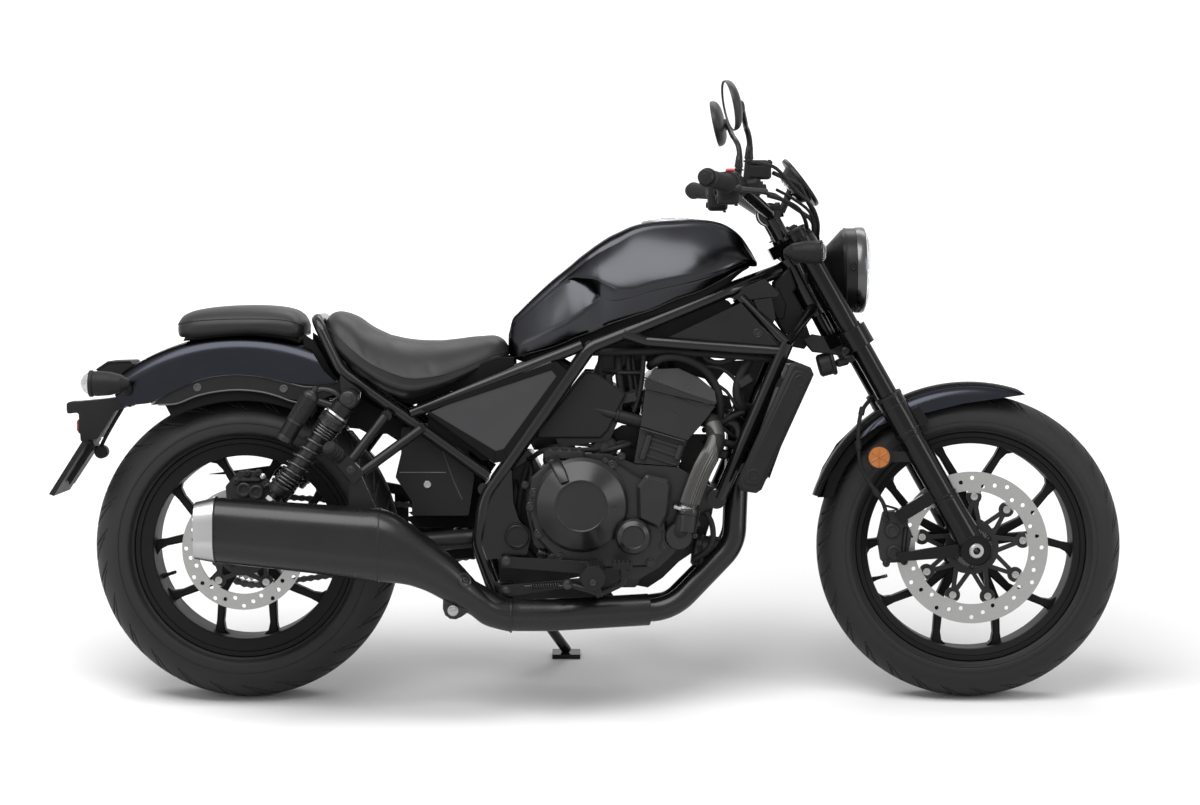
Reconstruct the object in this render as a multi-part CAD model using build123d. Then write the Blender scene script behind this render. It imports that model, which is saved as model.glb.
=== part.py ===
from build123d import *
import math
import os

# Cruiser motorcycle, twin cylinder, parked on its side stand. Millimetres.
# It is drawn upright: X forward from the rear axle, Y to the left, Z up from the road,
# with y = 0 on its centre plane. park() then leans each piece onto the stand.

# ---- driving dimensions ----
WHEELBASE = 1520.0
TYRE_RADIUS = 320.0
LEAN_DEG = 9.0
RAKE_DEG = 28.0
FORK_DEG = 29.5
TRAIL = 110.0
FRONT_CROWN = 70.0           # radius of the tread's section
REAR_CROWN = 100.0
FORK_HALF_SPACING = 105.0
FRAME_HALF_WIDTH = 130.0
ARM_HALF_SPACING = 138.0     # at the axle
ARM_FRONT_SPACING = 94.0     # at the pivot
CHAIN_Y = 106.0
SHOCK_Y = 160.0
SHOCK_TOP = (227.0, 635.0)   # eyes of the rear shocks
SHOCK_LOW = (34.0, 380.0)
PIVOT = (572.0, 347.0)       # swingarm pivot
OUTPUT_SHAFT = (640.0, 342.0)
REAR_SPROCKET_RADIUS = 97.0
FRONT_SPROCKET_RADIUS = 34.0
CHAIN_HALF_HEIGHT = 7.5
STAND_PIVOT = (590.0, 156.0, 186.0)
STAND_AXIS_DEG = 48.0        # hinge axis, tipped up from straight across
FRONT_MOUNT = (984.0, 426.0)  # engine bolt at the foot of the down tubes
STAND_FOOT = (668.0, 292.0)  # x and y of the middle of the foot

LEAN = math.radians(LEAN_DEG)
REAR_AXLE = (0.0, 0.0, TYRE_RADIUS)
FRONT_LIFT = (FRONT_CROWN - REAR_CROWN) * (1 - math.cos(LEAN)) / math.cos(LEAN)
FRONT_AXLE = (WHEELBASE, 0.0, TYRE_RADIUS - FRONT_LIFT)
ROAD_DROP = REAR_CROWN * (1 - math.cos(LEAN))
ORIGIN = (717.57, 128.79, 0.0)   # middle of the parked machine's box, on the road


def road_height(y):
    """Height of the road under the leaning machine, in its upright frame."""
    return (y * math.sin(LEAN) - ROAD_DROP) / math.cos(LEAN)


def steer_x(z):
    """X of the steering axis at height z."""
    return WHEELBASE + TRAIL - math.tan(math.radians(RAKE_DEG)) * z


def fork_x(z):
    """X of a fork leg's centre line at height z."""
    return WHEELBASE - math.tan(math.radians(FORK_DEG)) * (z - TYRE_RADIUS)


# ---- small helpers ----
def bar(start, end, radius, end_radius=None):
    """Round bar, or cone, between two points."""
    start = Vector(start)
    end = Vector(end)
    run = Plane(origin=start, z_dir=end - start)
    length = (end - start).length
    if end_radius is None or end_radius == radius:
        return run * Cylinder(radius, length, align=(Align.CENTER, Align.CENTER, Align.MIN))
    return run * Cone(radius, end_radius, length, align=(Align.CENTER, Align.CENTER, Align.MIN))


def tube(points, radii, radius, bore=0.0):
    """Bent round tube through the points, with one bend radius for each inner point."""
    path = FilletPolyline(*points, radius=radii)
    start = Plane(origin=path @ 0, z_dir=path % 0)
    solid = sweep(start * Circle(radius), path=path)
    if bore:
        solid -= sweep(start * Circle(bore), path=path)
    return solid


def cross_bar(x, z, y_low, y_high, radius):
    """Round bar across the machine."""
    return bar((x, y_low, z), (x, y_high, z), radius)


def slab(outline, y_low, y_high, corner=0.0):
    """Plate across the machine from a side outline of (x, z) points."""
    points = [(x, y_low, z) for x, z in outline]
    if corner:
        wire = FilletPolyline(*points, radius=corner, close=True)
    else:
        wire = Polyline(*points, close=True)
    return extrude(make_face(wire), amount=y_high - y_low, dir=(0, 1, 0))


def spun(profile, centre, axis_dir=(0, 1, 0)):
    """Solid of revolution: profile of (radius, along) points about an axis."""
    wire = Polyline(*[(r, 0, a) for r, a in profile], close=True)
    solid = revolve(make_face(wire), axis=Axis.Z, revolution_arc=360)
    return Plane(origin=centre, z_dir=axis_dir, x_dir=side_of(axis_dir)) * solid


def side_of(direction):
    """Any direction square to the given one, in the side plane when it can be."""
    d = Vector(direction).normalized()
    if abs(d.Y) > 0.9:
        return Vector(1, 0, 0)
    return Vector(d.Z, 0, -d.X) if abs(d.Y) < 0.01 else d.cross(Vector(0, 0, 1))


def mirrored(solid):
    """The same piece on the other side of the machine."""
    return mirror(solid, about=Plane.XZ)


def both(solid):
    """The piece and its mirror image as one part."""
    return Compound([*solid.solids(), *mirrored(solid).solids()])


def joined(pieces):
    """All pieces fused."""
    first = pieces[0]
    return first.fuse(*pieces[1:]) if len(pieces) > 1 else first


def loose(*pieces):
    """Separate solids that share a node."""
    return Compound([solid for piece in pieces for solid in piece.solids()])


def largest(shape):
    """The biggest solid left after a cut."""
    return shape.solids().sort_by(SortBy.VOLUME)[-1]


# ---- wheels ----
WHEELS = {
    # axle, rim flange radius, rim opening radius, rim half width, tyre half width, crown radius,
    # bead seat radius, y of the hub's right and left ends, bore radius
    "front": dict(axle=FRONT_AXLE, flange=240.0, opening=216.0, rim_half=48.0, tyre_half=65.0,
                  crown=FRONT_CROWN, bead=228.0, hub=(-57.0, 42.0), bore=12.2),
    "rear": dict(axle=REAR_AXLE, flange=228.0, opening=192.0, rim_half=68.0, tyre_half=89.0,
                 crown=REAR_CROWN, bead=215.0, hub=(-76.0, 62.0), bore=12.4),
}
SPOKE_PAIRS = 5
SPOKE_FIRST_DEG = 53.0
SPOKE_SPLAY_DEG = 17.0       # half the angle between a pair's feet on the rim
SPOKE_WIDTH = 15.0
SPOKE_THICKNESS = 30.0
HUB_RADIUS = 46.0


def tyre(spec):
    """Tyre as flat conical bands: crown, shoulder and side wall, open at the rim."""
    crown = spec["crown"]
    centre = TYRE_RADIUS - crown
    half = spec["tyre_half"]
    shoulder = [LEAN_DEG, 26.0, 44.0]
    outer = [(centre + crown * math.cos(math.radians(a)), crown * math.sin(math.radians(a)))
             for a in shoulder]
    tread_edge = outer[-1]
    side_mid = ((tread_edge[0] + spec["bead"]) / 2 - 4, half)
    bead_out = (spec["flange"] + 2, spec["rim_half"] + 5.0)
    bead_top = (spec["flange"] + 2, spec["rim_half"] - 7.0)
    bead_in = (spec["bead"] + 1.5, spec["rim_half"] - 20.0)
    side_in = (side_mid[0], half - 9)
    crown_in = (TYRE_RADIUS - 14, 0.0)
    right = [*outer, side_mid, bead_out, bead_top, bead_in, side_in]
    left = [(r, -a) for r, a in reversed(right)]
    return spun([*right, crown_in, *left], spec["axle"])


def spoke(spec, side):
    """One spoke of a pair along +X: bent in to the hub and flared onto the rim."""
    foot = spec["opening"] * math.sin(math.radians(SPOKE_SPLAY_DEG))
    reach = spec["opening"] * math.cos(math.radians(SPOKE_SPLAY_DEG)) + 4
    half = SPOKE_WIDTH / 2
    stations = [
        # distance out, offset of the middle, half width
        (34, foot * 0.34, half + 5),
        (reach * 0.52, foot * 0.92, half + 1.5),
        (reach - 26, foot, half),
        (reach - 9, foot, half + 3),
        (reach, foot, half + 12),
    ]
    outer = [(u, side * (v + w)) for u, v, w in stations]
    inner = [(u, side * (v - w)) for u, v, w in reversed(stations)]
    blade = slab(outer + inner, -SPOKE_THICKNESS / 2, SPOKE_THICKNESS / 2)
    faces = blade.faces().sort_by(Axis.Y)
    return chamfer([*faces[0].edges(), *faces[-1].edges()], 3.0)


def rim(spec):
    """Cast wheel: stepped dropped rim, five pairs of parallel spokes and a hub."""
    half = spec["rim_half"]
    flange = spec["flange"]
    opening = spec["opening"]
    bead = spec["bead"]
    right = [(flange, half), (flange - 9, half), (flange - 11, half - 5),
             (opening + 1.5, half - 9), (opening, half - 14)]
    left = [(r, -a) for r, a in reversed(right)]
    well = [(flange, 5 - half), (bead, 12 - half), (bead - 5, -12), (bead - 5, 12),
            (bead, half - 12), (flange, half - 5)]
    wheel = spun([*right, *left, *well], spec["axle"])
    x0, y0, z0 = spec["axle"]
    spokes = []
    for pair in range(SPOKE_PAIRS):
        angle = SPOKE_FIRST_DEG + 360.0 / SPOKE_PAIRS * pair
        spokes += [Pos(x0, 0, z0) * Rot(0, -angle, 0) * spoke(spec, side) for side in (-1, 1)]
    hub_low, hub_high = spec["hub"]
    hub = cross_bar(x0, z0, hub_low, hub_high, HUB_RADIUS)
    web = cross_bar(x0, z0, -SPOKE_THICKNESS / 2, SPOKE_THICKNESS / 2, HUB_RADIUS + 14)
    core = joined([wheel, hub, web, *spokes])
    return core - cross_bar(x0, z0, -120, 120, spec["bore"])


DISCS = {
    # ring radii, y of its middle, bobbin count and circle, y of the wheel hub's end,
    # radii of the drilled holes' circles in turn
    "front": dict(outer=159.0, inner=119.0, y=-66.0, bobbins=9, circle=107.0, hub_y=-57.0,
                  rows=(146.0, 138.0, 129.5)),
    "rear": dict(outer=128.0, inner=95.0, y=-85.0, bobbins=5, circle=84.0, hub_y=-76.0,
                 rows=(120.0, 112.5, 105.0)),
}
DISC_HALF_THICKNESS = 2.5
DISC_HOLES = 36
DISC_HOLE_RADIUS = 4.4
SPIDER_RADIUS = 56.0
SPIDER_BORE = 24.0
BOBBIN_RADIUS = 8.5


def polar(radius, degrees):
    """Point (x, z) at an angle up from straight ahead."""
    angle = math.radians(degrees)
    return (radius * math.cos(angle), radius * math.sin(angle))


def strip(start, end, width, y_low, y_high):
    """Flat strut between two (x, z) points."""
    length = math.dist(start, end)
    nx = (start[1] - end[1]) / length * width / 2
    nz = (end[0] - start[0]) / length * width / 2
    outline = [(start[0] + nx, start[1] + nz), (end[0] + nx, end[1] + nz),
               (end[0] - nx, end[1] - nz), (start[0] - nx, start[1] - nz)]
    return slab(outline, y_low, y_high)


def disc(spec, axle):
    """Drilled brake ring on bobbins, carried by a lattice of struts from the hub."""
    y = spec["y"]
    t = DISC_HALF_THICKNESS
    count = spec["bobbins"]
    circle = spec["circle"]
    ring = cross_bar(0, 0, y - t, y + t, spec["outer"])
    ring -= cross_bar(0, 0, y - 2 * t, y + 2 * t, spec["inner"])
    hub = cross_bar(0, 0, y - t - 1, spec["hub_y"], SPIDER_RADIUS)
    parts = [ring, hub]
    for index in range(count):
        angle = 88 - 360.0 / count * index
        x, z = polar(circle, angle)
        parts.append(cross_bar(x, z, y - t, y + t, spec["inner"] - circle + 4))
        parts.append(cross_bar(x, z, y - t - 3, y + t + 3, BOBBIN_RADIUS))
        for side in (-1, 1):
            foot = polar(SPIDER_RADIUS - 6, angle + side * 150.0 / count)
            parts.append(strip(foot, (x, z), 9.0, y - t - 1, y + t + 1))
    whole = joined(parts)
    holes = [cross_bar(0, 0, y - 20, y + 20, SPIDER_BORE)]
    for index in range(DISC_HOLES):
        x, z = polar(spec["rows"][index % 3], 360.0 / DISC_HOLES * index)
        holes.append(cross_bar(x, z, y - 6, y + 6, DISC_HOLE_RADIUS))
    whole = whole.cut(*holes)
    return Pos(axle[0], 0, axle[2]) * whole


# ---- rolling chassis ----
MAIN_TUBE_RADIUS = 14.0
RAIL_RADIUS = 12.0
BRACE_RADIUS = 11.0
HEADSTOCK_TOP_Z = 925.0
HEADSTOCK_LOW_Z = 806.0
W = FRAME_HALF_WIDTH


def headstock():
    top = (steer_x(HEADSTOCK_TOP_Z), 0, HEADSTOCK_TOP_Z)
    low = (steer_x(HEADSTOCK_LOW_Z), 0, HEADSTOCK_LOW_Z)
    return bar(low, top, 28.0) - bar(low, top, 20.0)


def perimeter(radius):
    """Right perimeter tube: headstock, seat, pivot and foot."""
    side = [(1118, -22, 898), (1000, -100, 853), (722, -W, 740), (505, -W, 430),
            (489, -W, 335), (534, -W, 206)]
    return tube(side, [150, 60, 110, 60], radius)


KNUCKLE = (1128.0, -118.0, 748.0)
BRACES = [
    # start, end, radius
    ((837, -122, 753), (1120, -118, 731), BRACE_RADIUS + 1),
    ((1034, -90, 842), KNUCKLE, BRACE_RADIUS),
    (KNUCKLE, (1190, -20, 822), BRACE_RADIUS),
    (KNUCKLE, (FRONT_MOUNT[0] + 6, -114, FRONT_MOUNT[1]), MAIN_TUBE_RADIUS + 1),
    ((790, -127, 768), (837, -122, 753), BRACE_RADIUS + 1),
]
SEAT_GAP = 0.05              # between a piece and the tube it is cut to fit


def right_tubes(gap=0.0):
    """The frame's tubes on the right side, grown by a gap."""
    return [perimeter(MAIN_TUBE_RADIUS + gap), *[bar(a, b, r + gap) for a, b, r in BRACES]]


def main_frame():
    """Two perimeter tubes, a triangulated front and the pivot plates."""
    plate = slab([(512, 462), (560, 494), (564, 419), (575, 385), (600, 352), (592, 312),
                  (497, 300), (489, 380)], -W - 10, -W + 10, 6)
    foot = slab([(508, 256), (562, 256), (562, 196), (524, 190)], -W - 12, -W + 12, 5)
    front_boss = cross_bar(*FRONT_MOUNT, -W + 4, -98, 20.0)
    gusset = slab([(1000, 848), (1085, 882), (1120, 846), (1034, 836)], -92, -80, 6)
    right = joined([*right_tubes(), plate, foot, front_boss, gusset])
    middle = [cross_bar(534, 212, -W, W, 15.0), cross_bar(722, 742, -W, W, 12.0),
              cross_bar(503, 447, -W, W, 13.0), headstock(),
              cross_bar(*FRONT_MOUNT, -100, 100, 8.0), stand_bracket()]
    pivot_bolt = cross_bar(PIVOT[0], PIVOT[1], -W - 14, W + 14, 13.0)
    caps = [cross_bar(PIVOT[0], PIVOT[1], s * W + s * 8, s * W + s * 20, 24.0) for s in (-1, 1)]
    frame = joined([right, mirrored(right), *middle, pivot_bolt, *caps])
    return frame - bar((steer_x(960), 0, 960), (steer_x(770), 0, 770), 20.0)


def tail_loop(radius):
    """The tail loop, from one frame tube up behind the rider and down to the other."""
    loop = [(512, -128, 472.6), (209, -122, 691), (155, -98, 797), (155, 98, 797),
            (209, 122, 691), (512, 128, 472.6)]
    return tube(loop, [80, 34, 34, 80], radius)


SEAT_CROSS = (420.0, 633.0)


def seat_rail(radius):
    """Right seat rail, from the frame tube back to the tail loop."""
    return bar((706, -128, 744), (352, -125, 603), radius)


def rear_subframe():
    """Seat rails and the tail loop with its padded bar behind the rider."""
    tail = tail_loop(RAIL_RADIUS)
    rail = seat_rail(RAIL_RADIUS)
    shock_boss = cross_bar(227, 635, -SHOCK_Y + 18, -112, 12.0)
    shock_lug = slab([(205, 690), (250, 668), (246, 622), (210, 622)], -131, -119, 8)
    seat_cross = cross_bar(*SEAT_CROSS, -125, 125, 10.0)
    whole = joined([tail, rail, mirrored(rail), shock_boss, mirrored(shock_boss),
                    shock_lug, mirrored(shock_lug), seat_cross])
    seat = perimeter(MAIN_TUBE_RADIUS + SEAT_GAP)
    return whole - seat - mirrored(seat)


def arm_tube(radius):
    """Right swingarm tube, closer in at the pivot than at the axle."""
    return tube([(PIVOT[0], -ARM_FRONT_SPACING, PIVOT[1]), (470, -ARM_FRONT_SPACING, 341),
                 (310, -ARM_HALF_SPACING, 333), (60, -ARM_HALF_SPACING, 323)], [120, 120], radius)


def swingarm():
    """Round-tube swingarm: pivot tube, two arms, a cross tube and axle plates."""
    dropout = slab([(75, 346), (75, 300), (-30, 290), (-38, 320), (-30, 350)],
                   -ARM_HALF_SPACING - 8, -ARM_HALF_SPACING + 8, 8)
    lug = slab([(12, 340), (20, 392), (50, 392), (66, 340)],
               -ARM_HALF_SPACING - 8, -ARM_HALF_SPACING + 8, 10)
    shock_pin = cross_bar(*SHOCK_LOW, -SHOCK_Y + 14, -ARM_HALF_SPACING, 9.0)
    side = joined([arm_tube(20.0), dropout, lug, shock_pin])
    pivot_tube = cross_bar(PIVOT[0], PIVOT[1], -W + 10.5, W - 10.5, 22.0)
    bridge = cross_bar(446, 340, -ARM_FRONT_SPACING, ARM_FRONT_SPACING, 18.0)
    whole = joined([side, mirrored(side), pivot_tube, bridge])
    whole -= cross_bar(PIVOT[0], PIVOT[1], -W, W, 13.0)
    return whole - cross_bar(0, TYRE_RADIUS, -200, 200, 12.5)


# ---- drive ----
CHAIN_PITCH = 15.875
CHAIN_REACH = 8.0


def chain_outline(offset):
    """Loop round both sprockets at an offset from the pitch line, as a closed wire."""
    big = REAR_SPROCKET_RADIUS + offset
    small = FRONT_SPROCKET_RADIUS + offset
    dx = OUTPUT_SHAFT[0]
    dz = OUTPUT_SHAFT[1] - TYRE_RADIUS
    span = math.hypot(dx, dz)
    tilt = math.atan2(dz, dx)
    wrap = math.acos((big - small) / span)
    def at(cx, cz, radius, angle):
        return (cx + radius * math.cos(angle), cz + radius * math.sin(angle))
    upper_rear = at(0, TYRE_RADIUS, big, tilt + wrap)
    upper_front = at(*OUTPUT_SHAFT, small, tilt + wrap)
    lower_rear = at(0, TYRE_RADIUS, big, tilt - wrap)
    lower_front = at(*OUTPUT_SHAFT, small, tilt - wrap)
    return upper_rear, upper_front, lower_front, lower_rear, big, small, tilt, wrap


def chain_points(offset, notch):
    """Points along the loop, half a pitch apart, alternately at the offset and the notch."""
    upper_rear, upper_front, lower_front, lower_rear, big, small, tilt, wrap = chain_outline(0)
    run = math.dist(upper_rear, upper_front)
    front_arc = small * 2 * wrap
    rear_arc = big * (2 * math.pi - 2 * wrap)
    total = 2 * run + front_arc + rear_arc
    count = 2 * round(total / CHAIN_PITCH / 2) * 2
    points = []
    for step in range(count):
        s = total * step / count
        shift = offset if step % 2 else notch
        if s < run:
            t = s / run
            x = upper_rear[0] + (upper_front[0] - upper_rear[0]) * t
            z = upper_rear[1] + (upper_front[1] - upper_rear[1]) * t
            angle = tilt + wrap
        elif s < run + front_arc:
            angle = tilt + wrap - (s - run) / small
            x = OUTPUT_SHAFT[0] + small * math.cos(angle)
            z = OUTPUT_SHAFT[1] + small * math.sin(angle)
        elif s < 2 * run + front_arc:
            t = (s - run - front_arc) / run
            x = lower_front[0] + (lower_rear[0] - lower_front[0]) * t
            z = lower_front[1] + (lower_rear[1] - lower_front[1]) * t
            angle = tilt - wrap
        else:
            angle = tilt - wrap - (s - 2 * run - front_arc) / big
            x = big * math.cos(angle)
            z = TYRE_RADIUS + big * math.sin(angle)
        points.append((x + shift * math.cos(angle), z + shift * math.sin(angle)))
    return points


def drive_chain():
    """Roller chain as one loop, waisted between its pins, and the front sprocket."""
    outside = slab(chain_points(CHAIN_HALF_HEIGHT, CHAIN_HALF_HEIGHT - 3),
                   CHAIN_Y - CHAIN_REACH, CHAIN_Y + CHAIN_REACH)
    inside = slab(chain_points(-CHAIN_HALF_HEIGHT, -CHAIN_HALF_HEIGHT + 3),
                  CHAIN_Y - 20, CHAIN_Y + 20)
    sprocket = toothed(FRONT_SPROCKET_RADIUS - CHAIN_HALF_HEIGHT - 1.5, 15, OUTPUT_SHAFT,
                       CHAIN_Y - 4, CHAIN_Y + 4)
    shaft = cross_bar(*OUTPUT_SHAFT, CASE_LEFT + SEAT_GAP, CHAIN_Y + 8, 11.0)
    return loose(outside - inside, joined([sprocket, shaft]))


def toothed(radius, teeth, centre, y_low, y_high):
    """Sprocket blank with pointed teeth inside the chain."""
    points = []
    for step in range(teeth * 2):
        angle = math.pi * step / teeth
        r = radius if step % 2 else radius - 6
        points.append((centre[0] + r * math.cos(angle), centre[1] + r * math.sin(angle)))
    return slab(points, y_low, y_high)


def rear_sprocket():
    wheel_side = WHEELS["rear"]["rim_half"] - 6
    blank = toothed(REAR_SPROCKET_RADIUS - CHAIN_HALF_HEIGHT - 1.5, 40, (0, TYRE_RADIUS),
                    CHAIN_Y - 4, CHAIN_Y + 4)
    carrier = cross_bar(0, TYRE_RADIUS, wheel_side, CHAIN_Y - 4, 48.0)
    windows = []
    for hole in range(5):
        angle = math.radians(72 * hole + 18)
        windows.append(cross_bar(66 * math.cos(angle), TYRE_RADIUS + 66 * math.sin(angle),
                                 CHAIN_Y - 6, CHAIN_Y + 6, 13.0))
    whole = joined([blank, carrier])
    for window in windows:
        whole -= window
    return whole - cross_bar(0, TYRE_RADIUS, 0, 150, 24.0)


def chain_guard():
    """Curved guard over the upper run, ending in a fin behind the axle."""
    blade = slab([(330, 436), (150, 470), (40, 481), (-100, 462), (-20, 462), (60, 458),
                  (150, 448), (330, 414)], CHAIN_Y - 4, CHAIN_Y + 14)
    tab = slab([(300, 436), (330, 436), (330, 340), (300, 340)], CHAIN_Y + 14, CHAIN_Y + 18)
    return joined([blade, tab]) - mirrored(arm_tube(20.0 + SEAT_GAP))


# ---- engine ----
CASE_RIGHT = -150.0
CASE_LEFT = 92.0


def crankcase():
    """Horizontally split crankcase with its sump and breather boss."""
    case = slab([(600, 452), (590, 400), (606, 330), (655, 285), (740, 262), (822, 258),
                 (866, 284), (912, 330), (944, 388), (940, 470), (905, 492), (815, 498),
                 (760, 520), (640, 520)], CASE_RIGHT + 30, CASE_LEFT, 14)
    sump = slab([(700, 272), (834, 272), (818, 238), (720, 238)], -80, 90, 8)
    alternator_side = slab([(700, 490), (700, 300), (745, 270), (822, 268), (866, 292),
                            (910, 340), (936, 400), (934, 440), (880, 488)],
                           CASE_LEFT - 1, CASE_LEFT + 42, 14)
    rear_mount = slab([(560, 520), (600, 520), (620, 480), (600, 440), (560, 470)], -60, 60, 8)
    front_mount = slab([(925, 470), (996, 440), (996, 412), (935, 390)], -90, 90, 8)
    case = joined([case, sump, alternator_side, rear_mount, front_mount])
    return case - cross_bar(*FRONT_MOUNT, -130, 130, 8.3)


CLUTCH = (704.0, 416.0)
PULSE_COVER = (811.0, 352.0)
ALTERNATOR = (806.0, 395.0)
# (radius, distance out from the cover) round each drum
CLUTCH_DRUM = [(0, 0), (98, 0), (98, 10), (91, 17), (86, 20), (54, 40), (50, 37), (0, 37)]
PULSE_DRUM = [(0, 0), (37, 0), (37, 22), (33, 27), (24, 33), (22, 31), (0, 31)]
ALTERNATOR_DRUM = [(0, 0), (96, 0), (96, 20), (86, 32), (56, 42), (52, 39), (0, 39)]


def engine_covers():
    """Bolted side covers: clutch and pulse cover right, alternator and sprocket cover left."""
    plate = slab([(598, 470), (590, 420), (608, 350), (655, 300), (740, 284), (850, 288),
                  (884, 330), (878, 400), (838, 462), (770, 506), (640, 508)],
                 CASE_RIGHT, CASE_RIGHT + 29.5, 16)
    plate = chamfer(plate.faces().sort_by(Axis.Y)[0].edges(), 5.0)
    clutch = spun(CLUTCH_DRUM, (CLUTCH[0], CASE_RIGHT + 1, CLUTCH[1]), (0, -1, 0))
    pulse = spun(PULSE_DRUM, (PULSE_COVER[0], CASE_RIGHT + 1, PULSE_COVER[1]), (0, -1, 0))
    pump_box = slab([(818, 455), (838, 480), (884, 470), (890, 455), (884, 397), (866, 366),
                     (820, 387)], CASE_RIGHT - 20, CASE_RIGHT + 29.5, 8)
    pump_box = chamfer(pump_box.faces().sort_by(Axis.Y)[0].edges(), 7.0)
    right = joined([plate, pump_box, clutch, pulse])
    alternator = spun(ALTERNATOR_DRUM, (ALTERNATOR[0], CASE_LEFT + 42 + SEAT_GAP, ALTERNATOR[1]))
    sprocket_cover = slab([(608, 312), (606, 372), (630, 398), (699.9, 398), (699.9, 300),
                           (660, 292)], CHAIN_Y + 11, CASE_LEFT + 42, 4)
    return loose(right, alternator, sprocket_cover)


CYLINDER_TILT = 18.0         # forward lean of the cylinders
CYLINDER_FOOT = (813.0, 500.0)


def on_cylinder(along, up):
    """Point (x, z) from the rear foot of the cylinders, along their base and up their axis."""
    tilt = math.radians(CYLINDER_TILT)
    return (CYLINDER_FOOT[0] + along * math.cos(tilt) + up * math.sin(tilt),
            CYLINDER_FOOT[1] - along * math.sin(tilt) + up * math.cos(tilt))


def cylinder_rod(along, low, high, y, radius):
    """Round rib on the side of the cylinders, parallel to their axis."""
    x0, z0 = on_cylinder(along, low)
    x1, z1 = on_cylinder(along, high)
    return bar((x0, y, z0), (x1, y, z1), radius)


def cylinder_block():
    """Twin cylinder block standing on the case, leaning forward, with its ribs."""
    block = slab([(813, 500.5), (826, 577), (923, 547), (905, 494)], -122, 122)
    ribs = []
    for level in range(3):
        up = 22 + 18 * level
        outline = [on_cylinder(6, up), on_cylinder(84, up), on_cylinder(84, up + 5),
                   on_cylinder(6, up + 5)]
        ribs.append(slab(outline, -126, 126))
    for along, low in ((13, 14), (82, 36)):
        ribs.append(cylinder_rod(along, low, 66, -122, 8.0))
        ribs.append(cylinder_rod(along, low, 66, 122, 8.0))
    case_top = slab([(760, 400), (760, 521), (815, 498.5), (905, 492.5), (960, 480), (960, 400)],
                    -140, 140)
    return joined([block, *ribs]) - case_top


def cylinder_head():
    """Head with its cam cover, roof-shaped above the gasket line, and the exhaust stubs."""
    head = slab([(826.3, 577.5), (836, 655), (982, 620), (960, 590), (923.3, 547.5)], -132, 132, 2)
    head = chamfer([head.faces().sort_by(Axis.Y)[0].edges().sort_by(Axis.Z)[0],
                    head.faces().sort_by(Axis.Y)[-1].edges().sort_by(Axis.Z)[0]], 1.0)
    cover = slab([(833, 655.5), (838, 676), (856, 695), (904, 697), (945, 678), (980, 650),
                  (984, 620)], -138, 138, 6)
    seam = on_cylinder(0, 166)
    along = Vector(math.cos(math.radians(CYLINDER_TILT)), 0,
                   -math.sin(math.radians(CYLINDER_TILT)))
    roof_plane = Plane(origin=Vector(seam[0], 0, seam[1]) - along * 100, x_dir=(0, 1, 0), z_dir=along)
    for side in (-1, 1):
        corner = roof_plane * Polyline((side * 139, 6), (side * 139, 90), (side * 84, 90),
                                       close=True)
        cover -= extrude(make_face(corner), amount=400, dir=along)
    stubs = [bar((950, y, 598), (986, y, 590), 24.0) for y in (-48, 48)]
    return joined([head, cover, *stubs])


def intake():
    """Throttle bodies between the airbox and the head, with the injector rail."""
    bodies = [bar((782, y, 630), (829.5, y, 622), 27.0) for y in (-45, 45)]
    rail = cross_bar(812, 640, -95, 95, 12.0)
    return largest(joined([*bodies, rail]) - airbox())


def airbox():
    """Air box behind the cylinders and under the tank, between the frame tubes."""
    rear = slab([(711, 689), (794, 650), (786, 600), (763, 548), (660, 531), (631, 589)],
                -108, 108, 14)
    upper = slab([(742, 716), (752, 762), (820, 798), (980, 846), (1010, 836), (1038, 800),
                  (1022, 770), (960, 737), (850, 722), (796, 706), (760, 668), (720, 668)],
                 -76, 76, 8)
    return joined([rear, upper])


FRAME_COVERS = [
    # y of the outer face, outline
    (-122, [(866, 752), (1034, 832), (1112, 744)]),
    (-107, [(1060, 838), (1098, 842), (1106, 800), (1092, 772)]),
]


def frame_covers():
    """Black covers fitted inside the frame's triangles."""
    plates = []
    for y, outline in FRAME_COVERS:
        plate = slab(outline, y, y + 14)
        plates.append(both(largest(plate.cut(*right_tubes(SEAT_GAP)))))
    return loose(*plates)


def side_panels():
    """Flat triangular side panels fitted between the seat rail, frame and tail loop."""
    panel = slab([(390, 606), (640, 712), (662, 690), (540, 520), (505, 520)], -138, -128)
    tubes = [perimeter(MAIN_TUBE_RADIUS + SEAT_GAP), tail_loop(RAIL_RADIUS + SEAT_GAP),
             seat_rail(RAIL_RADIUS + SEAT_GAP)]
    return both(largest(panel.cut(*tubes)))


def radiator():
    """Core with its side tanks, on four brackets in front of the down tubes."""
    core = slab([(1140, 700), (1170, 700), (1087, 470), (1057, 470)], -150, 150)
    foot_x = FRONT_MOUNT[0] + 6
    brackets = []
    for share in (0.25, 0.8):
        x = KNUCKLE[0] + (foot_x - KNUCKLE[0]) * share
        z = KNUCKLE[2] + (FRONT_MOUNT[1] - KNUCKLE[2]) * share
        arm = slab([(x, z + 9), (x + 60, z + 9), (x + 60, z - 9), (x, z - 9)], -124, -108)
        brackets.append(largest(arm.cut(*right_tubes(SEAT_GAP))))
    return joined([core, *brackets, *[mirrored(arm) for arm in brackets]])


def radiator_shrouds():
    shroud = slab([(1125, 712), (1150, 720), (1172, 716), (1178, 665), (1063, 450), (1033, 446),
                   (1027, 462)], -190, -151, 7)
    return both(shroud)


def coolant_hose():
    """Thick hose from the pump elbow up to the front of the head."""
    hose = tube([(905, CASE_RIGHT + 30, 352), (905, -154, 352), (922, -154, 405),
                 (955, -152, 490), (985, -134, 545), (972, -108, 592)],
                [18, 60, 80, 30], 18.0)
    return largest(hose - cylinder_head())


# ---- exhaust ----
HEADER_RADIUS = 24.0
COLLECTOR_RADIUS = 33.0


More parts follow.
